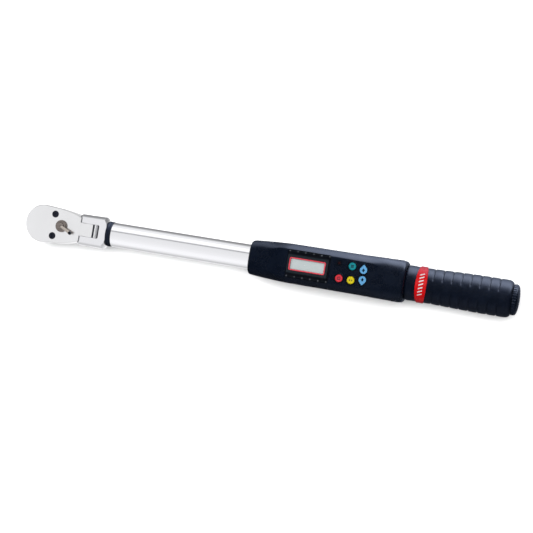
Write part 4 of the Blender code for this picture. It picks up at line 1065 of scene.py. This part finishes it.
def make_tent(name, radius, levels, tint, receivers, fade=None, far_end=True):
    """A see-through drum of light round the tool that only the receivers reflect.

    fade gives the two places along X between which it brightens, and far_end closes the
    drum beyond the head.
    """
    tent = turned(name, [(-1500, radius), (1500, radius)], sides=96)
    bm = bmesh.new()
    bm.from_mesh(tent.data)
    ends = [face for face in bm.faces if len(face.verts) > 4]
    dropped = [end for end in ends if not far_end or end.verts[0].co.x > 0]
    bmesh.ops.delete(bm, geom=dropped, context="FACES")
    bm.to_mesh(tent.data)
    bm.free()
    material, tree = stage_material(name + "_cloth")
    link = tree.links.new
    tree.nodes.clear()
    colour, along = brightness_round_axis(tree, levels, tint)
    emission = add_node(tree, "Emission", Strength=BRIGHTEST)
    link(colour, emission.inputs["Color"])
    if fade:
        strength = add_node(tree, "Math")
        strength.operation = "MULTIPLY_ADD"
        strength.inputs[1].default_value = BRIGHTEST * (1 - FAR_SHARE)
        strength.inputs[2].default_value = BRIGHTEST * FAR_SHARE
        rise = add_node(tree, "MapRange", From_Min=fade[0], From_Max=fade[1])
        rise.interpolation_type = "SMOOTHSTEP"
        link(along, rise.inputs["Value"])
        link(rise.outputs["Result"], strength.inputs[0])
        link(strength.outputs["Value"], emission.inputs["Strength"])
    see_through = add_node(tree, "AddShader")
    link(emission.outputs["Emission"], see_through.inputs[0])
    link(add_node(tree, "BsdfTransparent").outputs["BSDF"], see_through.inputs[1])
    link(see_through.outputs["Shader"], add_node(tree, "OutputMaterial").inputs["Surface"])
    tent.visible_camera = tent.visible_diffuse = tent.visible_shadow = tent.visible_transmission = False
    tent.light_linking.receiver_collection = receivers
    stage_piece(tent, material)


def diffuser(name, where, size, radiance, tilt=0.0):
    """A wide area light that shows in no reflection."""
    light = bpy.data.lights.new(name, "AREA")
    light.shape = "RECTANGLE"
    light.size, light.size_y = size
    light.energy = math.pi * radiance * size[0] * size[1]
    obj = added(name, light)
    obj.location = where
    obj.rotation_euler = (tilt, 0, 0)
    obj.visible_camera = False
    obj.visible_glossy = False


def make_lights():
    diffuser("diffuser", (0.2, 0.4, 1.5), (2.4, 1.1), 5.5, -math.atan2(0.4, 1.5))
    diffuser("ceiling", (0.2, 0.0, 1.8), (5.0, 5.0), 1.05)


def make_floor():
    half = 4000
    square = ((-half, -half), (half, -half), (half, half), (-half, half))
    floor = solid("floor", lambda bm: bm.faces.new([bm.verts.new((x, y, -0.2)) for x, y in square]))
    material, tree = stage_material("floor_paper")
    shader = tree.nodes["Principled BSDF"]
    shader.inputs["Base Color"].default_value = (0.9, 0.9, 0.9, 1)
    shader.inputs["Roughness"].default_value = 0.9
    shader.inputs["Specular IOR Level"].default_value = 0.0
    floor.visible_glossy = floor.visible_shadow = False
    stage_piece(floor, material)


def make_backdrop():
    """A pale wall far behind the tool, all round, that lights nothing."""
    radius, top = 3900, 3500
    wall = turned("backdrop", [(-100, radius), (top, radius), (top, 0)], axis="Z", sides=64)
    material, tree = stage_material("backdrop_paper")
    shader = tree.nodes["Principled BSDF"]
    shader.inputs["Base Color"].default_value = (0, 0, 0, 1)
    shader.inputs["Specular IOR Level"].default_value = 0.0
    shader.inputs["Emission Color"].default_value = (0.86, 0.87, 0.88, 1)
    shader.inputs["Emission Strength"].default_value = 1.0
    wall.visible_diffuse = wall.visible_glossy = wall.visible_transmission = wall.visible_shadow = False
    stage_piece(wall, material)


LENS = 93.3
CAMERA_AT = (468.9, 0, AXIS_Z + 1185)
CAMERA_AIM = (208.8, -6.1, AXIS_Z)
CAMERA_ROLL = 9.31


def make_camera():
    """Above the grip's end, looking along the tool to its head."""
    camera = bpy.data.cameras.new("camera")
    camera.lens = LENS
    camera.clip_start, camera.clip_end = 0.05, 20
    place = Vector(CAMERA_AT)
    forward = (Vector(CAMERA_AIM) - place).normalized()
    tool = Vector((1, 0, 0))
    across = (tool - forward * tool.dot(forward)).normalized()
    across.rotate(Matrix.Rotation(math.radians(CAMERA_ROLL), 3, -forward))
    up = across.cross(forward)
    turn = Matrix((across, up, -forward)).transposed().to_4x4()
    obj = added("camera", camera)
    obj.matrix_world = Matrix.Translation(place * MM) @ turn
    bpy.context.scene.camera = obj


def dress_cad_nodes():
    """Give every CAD node the finish of its slot."""
    for name, node in frame["nodes"].items():
        finish(node, SLOT_OF[name])


def main():
    dress_cad_nodes()
    make_head_body()
    make_cover()
    make_cover_screws()
    make_drive()
    make_detent_ball()
    make_lever()
    make_yoke()
    make_flex_pin()
    make_seal_ring()
    make_tube()
    make_housing_front()
    make_housing_back()
    make_display()
    make_indicators()
    make_alert_window()
    for node in ROUND_KEYS:
        make_round_key(node)
    for node, side in DROP_KEYS:
        make_drop_key(node, side)
    make_key_shade_rims()
    make_legends()
    make_grip()
    make_badge()
    make_cap()
    make_floor()
    make_backdrop()
    make_world()
    make_tent("steel_tent", 900, TENT_LEVELS, (1, 1, 1), STEEL_PARTS)
    make_tent("plastic_tent", 1000, BAND_LEVELS, (0.84, 0.97, 1.32), PLASTIC_PARTS, fade=(-0.15, 0.25),
              far_end=False)
    make_lights()
    make_camera()
    bpy.context.scene.view_settings.view_transform = "Standard"


main()
